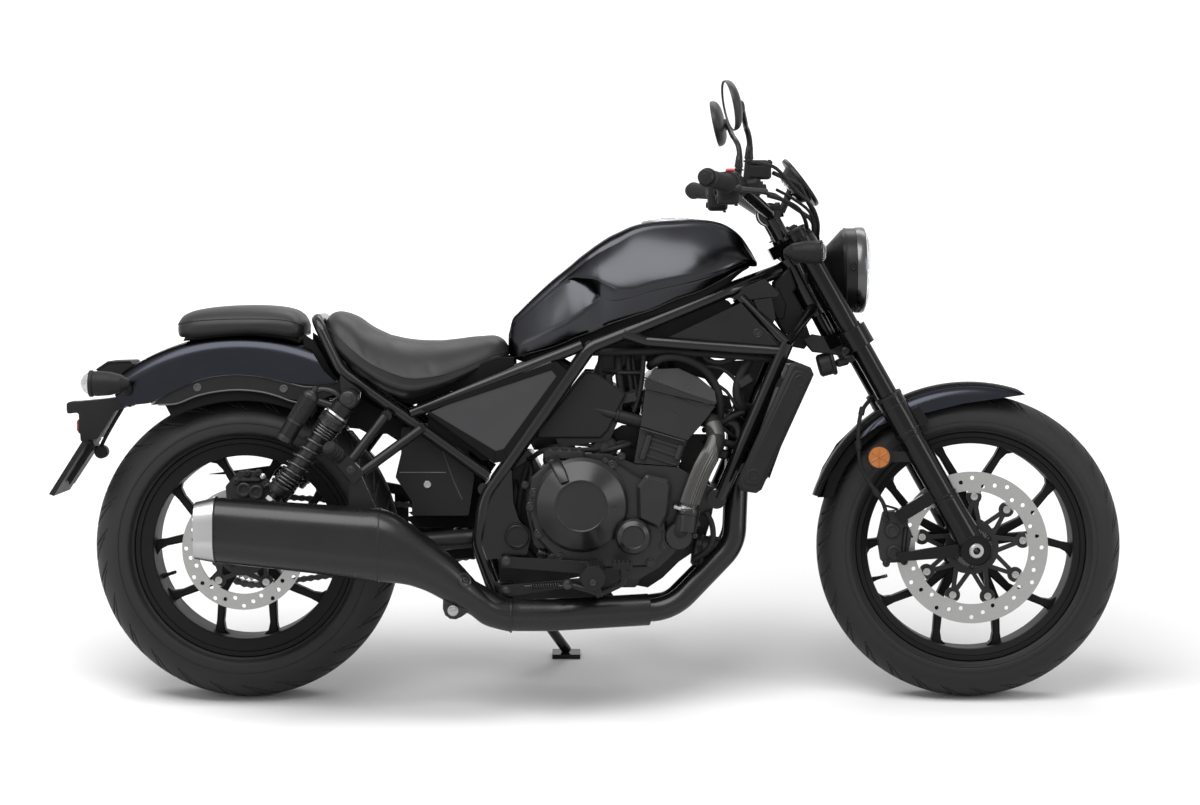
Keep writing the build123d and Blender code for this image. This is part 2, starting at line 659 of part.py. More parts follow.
def exhaust_collector():
    """Big pipe under the engine that leads out to the muffler."""
    return tube([(842, -125, 197), (640, -166, 190), (545, -190, 193), (464, -222, 243)],
                [300, 110], COLLECTOR_RADIUS)


def exhaust_pipes():
    """Two headers swept down in front of the engine into one collector on the right."""
    right = tube([(987, -48, 589.8), (1034, -48, 579.3), (1022, -92, 330), (890, -118, 196),
                  (770, -134, 195)], [32, 90, 110], HEADER_RADIUS)
    left = tube([(987, 48, 589.8), (1034, 48, 579.3), (1022, 10, 330), (890, -52, 205),
                 (790, -122, 199)], [32, 90, 70], HEADER_RADIUS - 2)
    return joined([right, left, exhaust_collector()])


MUFFLER_SECTIONS = [
    # x, z, width, height, corner radius, forward tilt of the section in degrees
    (-36, 372, 108, 133, 50, 0),
    (290, 343, 112, 144, 53, -3),
    (388, 300, 104, 100, 47, -30),
    (440, 266, 84, 84, 41, -36),
    (474, 240, 70, 70, 34.8, -40),
]
MUFFLER_Y = -236.0


def muffler_section(x, z, width, height, corner, tilt, y=MUFFLER_Y, inset=0.0):
    plane = Plane(origin=(x, y, z), x_dir=(0, 1, 0), z_dir=(1, 0, 0))
    shape = RectangleRounded(width - 2 * inset, height - 2 * inset, corner - inset)
    return plane * Rot(tilt, 0, 0) * shape


def muffler():
    """Oval can with a tapered, down-swept front and its mounting lug."""
    sections = [muffler_section(*row) for row in MUFFLER_SECTIONS]
    can = loft(sections[:2], ruled=True)
    front = loft(sections[1:])
    lug = slab([(398, 262), (436, 262), (446, 196), (420, 188), (408, 200)],
               MUFFLER_Y - 8, MUFFLER_Y + 8, 6)
    return joined([can, front, lug]) - exhaust_collector()


def muffler_end():
    """Bright end ring with the recessed outlet."""
    row = MUFFLER_SECTIONS[0]
    base = muffler_section(-37, row[1], row[2], row[3], row[4], 0)
    lip = muffler_section(-78, row[1] - 1, row[2] - 14, row[3] - 18, row[4] - 10, 0)
    ring = loft([base, lip], ruled=True)
    outlet = bar((-90, MUFFLER_Y, row[1]), (-50, MUFFLER_Y, row[1]), 38.0)
    return ring - outlet


# ---- bodywork ----
TANK_SECTIONS = [
    # x, top z, bottom z, half width at the bottom, half width at the waist, waist z, crown half width
    (572, 812, 731, 60, 78, 768, 40),
    (680, 917, 764, 84, 112, 815, 52),
    (800, 984, 805, 100, 142, 865, 66),
    (920, 1003, 845, 104, 155, 905, 78),
    (1005, 992, 874, 88, 140, 925, 66),
    (1068, 938, 899, 46, 62, 915, 30),
]


def tank_section(x, top, low, low_half, waist_half, waist, crown_half):
    """One cross section of the tank: flat floor, flared sides, rounded shoulders."""
    def arc_side(s):
        return (Vector(x, s * low_half, low), Vector(x, s * waist_half, waist),
                Vector(x, s * crown_half, top - (top - waist) * 0.12), Vector(x, 0, top))
    low_r, waist_r, crown_r, top_point = arc_side(-1)
    low_l, waist_l, crown_l, top_point = arc_side(1)
    bulge = 0.92
    mid_r = Vector(x, -(low_half + waist_half) / 2 - 6, (low + waist) / 2)
    mid_l = Vector(x, (low_half + waist_half) / 2 + 6, (low + waist) / 2)
    up_r = Vector(x, -(waist_half * 0.5 + crown_half * 0.5) * 1.12, waist + (top - waist) * 0.52)
    up_l = Vector(x, (waist_half * 0.5 + crown_half * 0.5) * 1.12, waist + (top - waist) * 0.52)
    crown = ThreePointArc(crown_r, top_point, crown_l)
    edges = [Line(low_l, low_r), ThreePointArc(low_r, mid_r, waist_r),
             ThreePointArc(waist_r, up_r, crown_r), crown,
             ThreePointArc(crown_l, up_l, waist_l), ThreePointArc(waist_l, mid_l, low_l)]
    return make_face(Wire(edges))


def along_cap(height):
    """Point on the filler's axis, above the floor of its recess."""
    return (890 - 0.057 * height, 0, 980 + 0.998 * height)


def fuel_tank():
    """Teardrop tank lofted from a few sections."""
    body = loft([tank_section(*row) for row in TANK_SECTIONS])
    return body - bar(along_cap(0), along_cap(70), 36.0)


def fuel_cap():
    """Flush filler cap in its ring."""
    ring = bar(along_cap(0.3), along_cap(24), 35.6)
    lid = bar(along_cap(24), along_cap(29), 31.0)
    return joined([ring, lid])


SEAT_SIDE = [(168, 782), (176, 806), (196, 813), (221, 805), (256, 779), (302, 759), (350, 749),
             (410, 748), (462, 753), (514, 762), (538, 752), (546, 732), (548, 706), (494, 676),
             (421, 643), (355, 624), (312, 640), (250, 686), (208, 728), (178, 766)]
PASSENGER_SIDE = [(-142, 786), (-132, 806), (-92, 819), (15, 825), (94, 822), (128, 804),
                  (122, 776), (106, 746), (15, 746), (-134, 736)]
FENDER_CROWN = 444.0         # radius of the rear mudguard's crown from the axle
FENDER_RISE = 4.0            # how far its middle stands above its shoulders


def rider_seat():
    """Saddle with a raised back edge, narrow at the tank."""
    side = slab(SEAT_SIDE, -160, 160, 5)
    plan = extrude(make_face(FilletPolyline((150, -105, 600), (210, -150, 600), (330, -155, 600),
                                            (470, -105, 600), (552, -88, 600), (552, 88, 600),
                                            (470, 105, 600), (330, 155, 600), (210, 150, 600),
                                            (150, 105, 600), radius=25, close=True)),
                   amount=260, dir=(0, 0, 1))
    return (side & plan) - tail_loop(RAIL_RADIUS + 1.5) - cross_bar(*SEAT_CROSS, -160, 160, 10.05)


def passenger_seat():
    """Passenger pad, hollowed below to sit on the mudguard."""
    side = slab(PASSENGER_SIDE, -110, 110, 7)
    plan = extrude(make_face(FilletPolyline((-146, -78, 700), (-60, -104, 700), (132, -108, 700),
                                            (132, 108, 700), (-60, 104, 700), (-146, 78, 700),
                                            radius=30, close=True)),
                   amount=160, dir=(0, 0, 1))
    saddle = cross_bar(0, TYRE_RADIUS, -120, 120, FENDER_CROWN + FENDER_RISE + SEAT_GAP)
    return (side & plan) - saddle


def arched_shell(axle, crown_radius, half_width, corner, rise, thickness, inner_radius, outline):
    """Mudguard: a rounded channel spun round the axle and cut to its side outline."""
    def channel(half, crown, low):
        soft = corner * (1 - math.sqrt(0.5))
        edges = [Line((low, 0, half), (low, 0, -half)),
                 Line((low, 0, -half), (crown - corner, 0, -half)),
                 ThreePointArc((crown - corner, 0, -half), (crown - soft, 0, soft - half),
                               (crown, 0, corner - half)),
                 ThreePointArc((crown, 0, corner - half), (crown + rise, 0, 0),
                               (crown, 0, half - corner)),
                 ThreePointArc((crown, 0, half - corner), (crown - soft, 0, half - soft),
                               (crown - corner, 0, half)),
                 Line((crown - corner, 0, half), (low, 0, half))]
        solid = revolve(make_face(Wire(edges)), axis=Axis.Z, revolution_arc=360)
        return Plane(origin=axle, z_dir=(0, 1, 0), x_dir=(1, 0, 0)) * solid
    outer = channel(half_width, crown_radius, inner_radius)
    inner = channel(half_width - thickness, crown_radius - thickness, inner_radius - 20)
    keep = slab(outline, -half_width - 5, half_width + 5)
    return (outer & keep) - inner


def rear_fender():
    """Painted rear mudguard."""
    outline = [(-262, 640), (-240, 730), (-100, 790), (60, 790), (128, 765), (140, 740),
               (172, 690), (196, 668), (160, 660), (92, 668), (18, 684), (-40, 684), (-90, 673),
               (-150, 645), (-191, 624), (-245, 618)]
    return arched_shell(REAR_AXLE, FENDER_CROWN, 110, 34, FENDER_RISE, 3.5, 300, outline)


def fender_valance():
    """Black lower panels of the rear mudguard."""
    outline = [(-189, 620), (-137, 624), (-75, 643), (-23, 650), (30, 648), (101, 632),
               (150, 626), (214, 650), (204, 672), (160, 664), (92, 672), (18, 688), (-40, 688),
               (-90, 677), (-150, 649)]
    return both(slab(outline, -106, -102))


def inner_mudguard():
    """Black inner guard ahead of the rear wheel, boxed round the battery below the seat."""
    box = slab([(330, 575), (384, 572), (392, 630), (446, 630), (450, 590), (470, 520),
                (482, 470), (470, 390), (352, 390), (352, 420), (318, 470), (330, 520)],
               -104, 92, 6)
    wheel_space = cross_bar(0, TYRE_RADIUS, -120, 120, 345.0)
    return box - wheel_space - cross_bar(*SEAT_CROSS, -120, 120, 10.0 + SEAT_GAP)


def tail_lamp():
    """Tail lamp seated on the end of the rear mudguard."""
    body = slab([(-310, 690), (-286, 706), (-234, 708), (-236, 664), (-262, 658), (-300, 668)],
                -55, 55, 5)
    return largest(body - rear_fender())


def plate_bracket():
    """Plate carrier hung inside the mudguard's end: hanger, arm, lamp box and plate."""
    hanger = slab([(-268, 632), (-246, 612), (-234, 620), (-234, 693), (-250, 690)], -30, 30)
    arm = slab([(-262, 634), (-250, 614), (-275, 604), (-312, 546), (-346, 540), (-350, 600),
                (-375, 604), (-375, 622), (-310, 628)], -42, 42, 4)
    plate = slab([(-325, 540), (-334, 544), (-404, 434), (-394, 430)], -92, 92)
    gusset = slab([(-326, 548), (-318, 530), (-372, 448), (-380, 470)], -30, 30)
    return largest(joined([hanger, arm, plate, gusset]) - rear_fender() - tail_lamp())


def bullet(tip, length, radius, direction, blunt):
    """Streamlined lamp body: a rounded nose, a barrel and a flat lens end."""
    profile = [(0, 0), (blunt, 0), (radius * 0.72, length * 0.22), (radius * 0.94, length * 0.5),
               (radius, length * 0.8), (radius * 0.96, length), (0, length)]
    return spun(profile, tip, direction)


def rear_indicators():
    lamp = bullet((-226, -141, 666), 82, 26, (-1, 0, 0), 8)
    stalk = bar((-258, -140, 662), (-232, -110.3, 648), 9.0)
    return both(joined([lamp, stalk]) - slab([(-300, 600), (-300, 720), (-200, 720), (-200, 600)],
                                             -110.1, 0))


# ---- suspension ----
def along_shock(share, side=1):
    """Point on a shock's axis, 0 at its top eye and 1 at its lower eye."""
    x = SHOCK_TOP[0] + (SHOCK_LOW[0] - SHOCK_TOP[0]) * share
    z = SHOCK_TOP[1] + (SHOCK_LOW[1] - SHOCK_TOP[1]) * share
    return (x, -SHOCK_Y * side, z)


def rear_shocks():
    """Dampers with their eyes, spring seats and remote reservoirs."""
    top_eye = cross_bar(*SHOCK_TOP, -SHOCK_Y - 16, -SHOCK_Y + 17.8, 20.0)
    low_eye = cross_bar(*SHOCK_LOW, -SHOCK_Y - 12, -SHOCK_Y + 13.5, 16.0)
    head = bar(along_shock(0.05), along_shock(0.15), 23.0)
    rod = bar(along_shock(0.1), along_shock(0.95), 12.0)
    low_seat = bar(along_shock(0.70), along_shock(0.76), 24.0)
    fork_end = bar(along_shock(0.76), along_shock(0.96), 13.0)
    reservoir = bar((150, -SHOCK_Y - 4, 642), (94, -SHOCK_Y - 4, 550), 18.0)
    bridge = bar((146, -SHOCK_Y, 636), along_shock(0.08), 9.0)
    shock = joined([top_eye, low_eye, head, rod, low_seat, fork_end, reservoir, bridge])
    return both(shock)


SPRING_TURNS = 7


def shock_springs():
    """Springs as a stack of turns round the damper body."""
    start = 0.15
    end = 0.70
    length = math.dist(SHOCK_TOP, SHOCK_LOW) * (end - start) - 1.0
    pitch = length / SPRING_TURNS
    profile = [(12.5, 0)]
    for turn in range(SPRING_TURNS):
        profile += [(20, pitch * turn), (26, pitch * (turn + 0.3)), (26, pitch * (turn + 0.5)),
                    (20, pitch * (turn + 0.8))]
    profile += [(20, length), (12.5, length)]
    first = along_shock(start + 0.002)
    direction = Vector(along_shock(1)) - Vector(along_shock(0))
    return both(spun(profile, first, direction))


AXLE_RADIUS = 12.0
SPACER_RADIUS = 17.0
BRACKET_Y = (-113.5, -101.0)   # rear caliper bracket, held between two spacers


def rear_axle():
    """Hollow rear axle with its nuts and spacers."""
    inner_face = ARM_HALF_SPACING - 8
    hub_right, hub_left = WHEELS["rear"]["hub"]
    spans = [(-inner_face, BRACKET_Y[0]), (BRACKET_Y[1], hub_right - 0.5),
             (hub_left + 0.5, inner_face)]
    parts = [cross_bar(0, TYRE_RADIUS, -160, 160, AXLE_RADIUS)]
    for low, high in spans:
        parts.append(cross_bar(0, TYRE_RADIUS, low + SEAT_GAP, high - SEAT_GAP, SPACER_RADIUS))
    for side in (-1, 1):
        parts.append(cross_bar(0, TYRE_RADIUS, side * 146.3, side * 156, 19.0))
    return joined(parts) - cross_bar(0, TYRE_RADIUS, -170, 170, 7.0)


CALIPER_GAP = 5.5


def caliper(outline, y_disc, y_low, y_high, axle, swept_radius):
    """Brake caliper: a body that straddles its disc."""
    body = slab(outline, y_low, y_high, 8)
    x0, y0, z0 = axle
    slot = cross_bar(x0, z0, y_disc - CALIPER_GAP - 2.5, y_disc + CALIPER_GAP + 2.5,
                     swept_radius + 6)
    return body - slot


def rear_caliper():
    body = caliper([(-30, 402), (-34, 452), (-8, 482), (34, 482), (60, 452), (54, 402)],
                   DISCS["rear"]["y"], -110, -73, REAR_AXLE, DISCS["rear"]["outer"])
    arm = slab([(-28, 402), (28, 402), (22, 300), (-22, 300)], *BRACKET_Y, 6)
    whole = joined([body, arm])
    return whole - cross_bar(0, TYRE_RADIUS, -130, -80, AXLE_RADIUS + 0.1)


# ---- rider's controls on the chassis ----
PEG = (729.0, 288.0)


def footpegs():
    """Rider footpegs on their forward brackets, one each side."""
    upper = slab([(536, 312), (540, 290), (716, 276), (740, 284), (740, 300), (716, 302)],
                 -178, -164, 5)
    lower = slab([(536, 252), (536, 230), (560, 230), (716, 254), (716, 268)], -178, -164, 5)
    boss = cross_bar(PEG[0], PEG[1] - 8, -204, -158, 24.0)
    post = slab([(700, 300), (740, 300), (740, 250), (700, 250)], -180, -162, 6)
    peg = cross_bar(PEG[0], PEG[1], -372, -200, 17.0)
    end = cross_bar(PEG[0], PEG[1], -378, -366, 24.0)
    feeler = bar((736, -352, 276), (742, -352, 248), 6.0)
    stays = [cross_bar(550, 303, -170, -140.2, 9.0), cross_bar(549, 241, -170, -142.2, 8.0)]
    side = joined([upper, lower, boss, post, peg, end, feeler, *stays])
    return both(side)


def foot_controls():
    """Brake pedal on the right footpeg bracket and gear lever on the left of the case."""
    pivot = cross_bar(676, 256, -196, -178.05, 11.0)
    lever = tube([(676, -188, 256), (744, -196, 238), (792, -208, 262), (788, -226, 298)],
                 [30, 20], 7.0)
    pad = slab([(766, 306), (802, 308), (808, 296), (770, 292)], -262, -212, 3)
    right = joined([pivot, lever, pad])
    shaft = cross_bar(770, 290, CASE_LEFT + 42 + SEAT_GAP, 198, 9.0)
    shift = tube([(770, 190, 290), (846, 196, 300), (880, 200, 330)], [20], 6.0)
    shift_pad = cross_bar(880, 330, 196, 262, 9.0)
    left = joined([shaft, shift, shift_pad])
    return loose(right, left)


def passenger_pegs():
    """Passenger footpegs on their tubular brackets, which also carry the muffler."""
    tubes = [bar((300, -150, 598), (230, -186, 506), 10.0),
             bar((374, -150, 572), (256, -188, 486), 10.0)]
    feet = [cross_bar(303, 600, -152, -136.5, 11.0), cross_bar(372, 574, -152, -138.5, 11.0)]
    block = slab([(206, 500), (228, 522), (262, 484), (240, 462)], -204, -176, 4)
    peg = bar((214, -190, 514), (190, -222, 540), 12.0)
    side = joined([*tubes, *feet, block, peg])
    hanger = slab([(232, 470), (256, 478), (300, 380), (226, 380)], -200, -188)
    right = joined([side, hanger]) - muffler()
    return loose(largest(right), mirrored(side))


# ---- steering ----
def on_fork(z, side=-1):
    return (fork_x(z), side * FORK_HALF_SPACING, z)


STANCHION_RADIUS = 21.5
SLIDER_RADIUS = 26.5
SLIDER_TOP_Z = 636.0
FENDER_HALF_WIDTH = 75.0     # front mudguard, held between the fork legs
AXLE_LUG_FACE = 75.0         # inner faces of the lugs that clamp the front axle


def fork_stanchions():
    """Upper fork tubes with their caps."""
    tube_part = bar(on_fork(SLIDER_TOP_Z + 0.5), on_fork(978), STANCHION_RADIUS)
    cap = bar(on_fork(978), on_fork(985), 16.0)
    return both(joined([tube_part, cap]))


def fork_sliders():
    """Lower fork legs with dust seals, axle lugs and the caliper mounts."""
    axle_z = FRONT_AXLE[2]
    leg = bar(on_fork(SLIDER_TOP_Z), on_fork(axle_z + 20), SLIDER_RADIUS)
    guard = bar(on_fork(SLIDER_TOP_Z + 0.2), on_fork(560), 28.3)
    foot = bar(on_fork(430), on_fork(axle_z), 27.0, 30.0)
    lug = cross_bar(WHEELBASE, axle_z, -FORK_HALF_SPACING - 30, -AXLE_LUG_FACE, 31.0)
    leg = joined([leg, guard, foot, lug])
    bridge_stay = slab([(1395, 566), (1372, 600), (1404, 618), (1428, 584)],
                       -FORK_HALF_SPACING + 10, -FENDER_HALF_WIDTH - SEAT_GAP, 6)
    leg = joined([leg, bridge_stay])
    caliper_ears = [
        # outline of each ear, near side only
        [(1352, 398), (1440, 452), (1456, 430), (1368, 376)],
        [(1352, 312), (1368, 296), (1500, 306), (1500, 334)],
    ]
    ears = [slab(ear, -FORK_HALF_SPACING - 12, -FORK_HALF_SPACING + 4, 5) for ear in caliper_ears]
    right = joined([leg, *ears])
    bore = cross_bar(WHEELBASE, axle_z, -160, 160, 12.0)
    return loose(right - bore, mirrored(leg) - bore)


def front_axle():
    """Hollow front axle with its head and spacers."""
    z = FRONT_AXLE[2]
    hub_right, hub_left = WHEELS["front"]["hub"]
    parts = [cross_bar(WHEELBASE, z, -138, 138, 11.8),
             cross_bar(WHEELBASE, z, -142, -136.3, 15.0),
             cross_bar(WHEELBASE, z, SEAT_GAP - AXLE_LUG_FACE, hub_right - 0.5, 15.0),
             cross_bar(WHEELBASE, z, hub_left + 0.5, AXLE_LUG_FACE - SEAT_GAP, 15.0)]
    return joined(parts) - cross_bar(WHEELBASE, z, -150, 150, 7.5)


def yoke(z, thickness, clamp_radius, reach):
    """One fork yoke: a bridge plate between the leg clamps and round the stem."""
    up = Vector(-math.sin(math.radians(RAKE_DEG)), 0, math.cos(math.radians(RAKE_DEG)))
    leg_low = Vector(on_fork(z))
    leg_up = Vector(on_fork(z + thickness * 0.87))
    clamp = bar(leg_low, leg_up, clamp_radius)
    plate_x = steer_x(z)
    bridge_plane = Plane(origin=(plate_x, 0, z), x_dir=(math.cos(math.radians(RAKE_DEG)), 0,
                                                      math.sin(math.radians(RAKE_DEG))), z_dir=up)
    outline = Polyline((-30, -30), (-30, 30), (28, 112), (62, 112), (58, 0), (62, -112),
                       (28, -112), close=True)
    bridge = bridge_plane * extrude(make_face(outline), amount=reach)
    whole = joined([bridge, clamp, mirrored(clamp)])
    holes = [bar(on_fork(500), on_fork(1100), STANCHION_RADIUS + 0.02)]
    holes.append(mirrored(holes[0]))
    for hole in holes:
        whole -= hole
    return whole


TOP_YOKE_Z = 934.0
LOW_YOKE_Z = 740.0
TOP_CLAMP_RADIUS = 31.0


def yokes():
    """Top and bottom yokes on the steering stem."""
    top = yoke(TOP_YOKE_Z, 34, TOP_CLAMP_RADIUS, 26)
    low = yoke(LOW_YOKE_Z, 44, 32.0, 30)
    stem = bar((steer_x(LOW_YOKE_Z + 10), 0, LOW_YOKE_Z + 10),
               (steer_x(TOP_YOKE_Z + 30), 0, TOP_YOKE_Z + 30), 15.0)
    return joined([top, low, stem])


BAR_CENTRE = (1096.0, 1016.0)
BAR_BEND = (1028.0, 200.0, 1068.0)
BAR_END = (951.0, 412.0, 1080.0)
BAR_RADIUS = 12.7


def bar_pipe(radius):
    """The bent bar alone."""
    bx, bz = BAR_CENTRE
    path = [(BAR_END[0], -BAR_END[1], BAR_END[2]), (BAR_BEND[0], -BAR_BEND[1], BAR_BEND[2]),
            (bx, -64, bz), (bx, 64, bz), BAR_BEND, BAR_END]
    return tube(path, [70, 50, 50, 70], radius)


def handlebar():
    """Pulled-back bar on two short risers."""
    bx, bz = BAR_CENTRE
    pipe = bar_pipe(BAR_RADIUS)
    risers = []
    for s in (-1, 1):
        risers.append(bar((1124, s * 42, 966), (bx, s * 42, bz), 17.0))
        risers.append(cross_bar(bx, bz, s * 30, s * 54, 24.0))
    return joined([pipe, *risers])


def along_grip(share, side=-1):
    """Point on the straight outer run of the bar, 0 at its bend and 1 at its end."""
    x = BAR_BEND[0] + (BAR_END[0] - BAR_BEND[0]) * share
    y = BAR_BEND[1] + (BAR_END[1] - BAR_BEND[1]) * share
    z = BAR_BEND[2] + (BAR_END[2] - BAR_BEND[2]) * share
    return (x, side * y, z)


def grips():
    """Rubber grips with end weights."""
    grip = bar(along_grip(0.42), along_grip(0.985), 17.0)
    weight = bar(along_grip(0.985), along_grip(1.04), 15.0)
    grip = joined([grip, weight])
    return both(grip - bar(along_grip(0.2), along_grip(1.0), BAR_RADIUS))


LEVER_TIP = (-10.0, -190.0, -11.0)   # from the perch, as are the next two rows
LEVER_KNEE = (54.0, -60.0, -12.0)
LEVER_PIVOT = (38.0, -8.0, -4.0)
LEVER_RADIUS = 5.5


def soft_box(centre, size, corner):
    """Box with all its edges rounded."""
    block = Pos(*centre) * Box(*size)
    return fillet(block.edges(), corner)


def from_perch(offset):
    """Point at an offset from the middle of the lever perch."""
    return tuple(p + o for p, o in zip(along_grip(0.05), offset))


def hand_controls():
    """Switch housings, perches, levers and the brake fluid reservoir."""
    sx, sy, sz = along_grip(0.28)
    housing = bar(along_grip(0.17), along_grip(0.40), 24.0)
    housing += soft_box((sx - 6, sy, sz - 8), (44, 40, 66), 9.0)
    perch = bar(along_grip(0.02), along_grip(0.12), 21.0)
    perch += bar(from_perch((0, 0, 0)), from_perch((38, -8, 6)), 12.0)
    perch += bar(from_perch((38, -8, -16)), from_perch((38, -8, 10)), 11.0)
    lever = tube([from_perch(LEVER_PIVOT), from_perch(LEVER_KNEE), from_perch(LEVER_TIP)],
                 [40], LEVER_RADIUS)
    ball = Pos(*from_perch(LEVER_TIP)) * Sphere(LEVER_RADIUS + 2.5)
    boss = bar(from_perch((16, 0, 8)), from_perch((20, 0, 52)), 8.0)
    side = joined([housing, perch, lever, ball, boss])
    hole = bar_pipe(BAR_RADIUS + 0.02)
    cup = soft_box(from_perch((42, 14, 30)), (48, 42, 30), 6.0)
    lid = soft_box(from_perch((42, 14, 48)), (52, 46, 8), 3.0)
    right = joined([side, cup, lid])
    return loose(right - hole, mirrored(side - hole))


MIRROR = (1000.0, -330.0, 1225.0)


def mirrors():
    """Oval mirror shells on bent stalks."""
    px, py, pz = along_grip(0.05)
    stalk = tube([(px + 20.0, py, pz + 52.5), (px + 22, py, pz + 84), (px + 8, py - 40, pz + 118),
                  (MIRROR[0] + 14, MIRROR[1] + 20, MIRROR[2] - 6)], [14, 22], 5.0)
    back = Plane(origin=MIRROR, x_dir=(0, 1, 0), z_dir=(0.97, 0.12, 0.2))
    dish = extrude(back * Ellipse(60, 51), amount=10)
    cap = extrude(back.offset(10) * Ellipse(44, 36), amount=9)
    return both(joined([stalk, dish, cap]))


def mirror_glass():
    back = Plane(origin=MIRROR, x_dir=(0, 1, 0), z_dir=(0.97, 0.12, 0.2)).offset(-3)
    return both(extrude(back * Ellipse(57, 48), amount=3))


LAMP_CENTRE_Z = 900.0
LAMP_RADIUS = 88.0


def headlamp():
    """Round headlamp shell on a bracket between the fork legs."""
    profile = [(0, 10), (34, 10), (50, 22), (84, 53), (LAMP_RADIUS, 60), (LAMP_RADIUS, 96),
               (LAMP_RADIUS - 6, 96), (LAMP_RADIUS - 6, 90), (0, 90)]
    shell = spun(profile, (1196, 0, LAMP_CENTRE_Z), (1, 0, 0))
    arm = bar((1262, 0, 830), (1262, 0, 796), 14.0)
    return joined([shell, arm])


def headlamp_lens():
    """Clear bulged lens and its bright rim."""
    profile = [(0, 90.5), (LAMP_RADIUS - 6.5, 90.5), (LAMP_RADIUS - 6.5, 98), (LAMP_RADIUS - 4, 100),
               (66, 110), (40, 117), (0, 120)]
    return spun(profile, (1196, 0, LAMP_CENTRE_Z), (1, 0, 0))


def instrument():
    """Small round instrument behind a sloping visor, over the bar clamps."""
    top = Vector(1131, 0, 1134)
    low = Vector(1203, 0, 1038)
    normal = Vector(0.8, 0, 0.6)
    middle = (top + low) * 0.5
    face = Plane(origin=middle, x_dir=(0, 1, 0), z_dir=normal)
    visor = extrude(face * Ellipse(66, 59), amount=-7)
    shell = bar(middle - normal * 7, middle - normal * 30, 46.0, 34.0)
    stay = bar(middle - normal * 28, (1124, 0, 1022), 8.0)
    stay += bar((1128, 0, 1020), (1109, 0, 1017), 8.0)
    return joined([visor, shell, stay])


def side_reflector():
    """Round reflector on a stay from the right fork leg."""
    x = 1320.0
    z = 513.0
    lens = bar((x, -124, z), (x, -112, z), 25.0)
    stay = slab([(x - 12, z - 12), (x - 12, z + 12), (fork_x(z), z + 10), (fork_x(z), z - 10)],
                -112, -106)
    leg = bar(on_fork(400), on_fork(SLIDER_TOP_Z), SLIDER_RADIUS + SEAT_GAP)
    return largest(joined([lens, stay]) - leg)


def front_indicators():
    """Front indicators on the top yoke's clamps, and the side reflectors."""
    lamp = bullet((1118, -176, 936), 78, 24, (1, 0, 0), 6)
    stalk = bar((1160, -158, 936), (1164, -125, 946), 8.0)
    stalk -= bar(on_fork(880), on_fork(1000), TOP_CLAMP_RADIUS + SEAT_GAP)
    return loose(both(joined([lamp, largest(stalk)])), both(side_reflector()))


def front_fender():
    """Short painted front mudguard with its stays to the fork legs."""
    outline = [(1632, 640), (1560, 700), (1380, 690), (1200, 560), (1160, 425), (1209, 427),
               (1222, 470), (1262, 530), (1322, 575), (1380, 596), (1420, 602), (1500, 622),
               (1584, 634)]
    return arched_shell(FRONT_AXLE, 340, FENDER_HALF_WIDTH, 26, 5.0, 3.0, 260, outline)


def front_caliper():
    body = caliper([(1330, 290), (1322, 340), (1334, 396), (1372, 400), (1392, 350), (1380, 292)],
                   DISCS["front"]["y"], -92.5, -52, FRONT_AXLE, DISCS["front"]["outer"])
    return body


def control_hoses():
    """Brake hose and cables led past the yokes; all ride with the steering."""
    px, py, pz = along_grip(0.05)
    hoses = [
        [(px + 71, py + 16, pz + 28), (1150, -150, 1075), (1190, -60, 1015), (1200, -60, 930),
         (1232, -72, 842)],
        [(px + 50.5, -py - 8, pz + 6), (1120, 150, 1062), (1198, 72, 1006), (1206, 64, 900)],
    ]
    pieces = [tube(hoses[0], [40, 40, 60], 4.5), tube(hoses[1], [40, 40], 4.5)]
    return loose(*pieces)


# ---- side stand ----
def stand_axis():
    """Unit vector along the stand's hinge; folding is a positive turn about it."""
    tip = math.radians(STAND_AXIS_DEG)
    return Vector(0, math.cos(tip), math.sin(tip))


def side_stand():
    """Side stand leg with its foot flat on the road."""
    fx, fy = STAND_FOOT
    fz = road_height(fy)
    px, py, pz = STAND_PIVOT
    pivot = Vector(px, py, pz)
    leg = bar(pivot, (fx, fy, fz + 14), 11.0)
    knuckle = bar(pivot - stand_axis() * 11, pivot + stand_axis() * 11, 19.0)
    pad = Pos(fx, fy, fz) * Rot(LEAN_DEG, 0, 0) * Box(62, 46, 10, align=(Align.CENTER, Align.CENTER,
                                                                      Align.MIN))
    return joined([leg, knuckle, pad])


def stand_bracket():
    """Lug on the frame that carries the side stand."""
    px, py, pz = STAND_PIVOT
    lug = slab([(530, 236), (px + 16, 226), (px + 20, 200), (px + 8, 174), (px - 14, 172),
                (556, 192)], W - 12, W + 3, 5)
    pivot = Vector(*STAND_PIVOT)
    boss = bar(pivot - stand_axis() * 11.5, pivot - stand_axis() * 34, 17.0)
    return joined([lug, boss])


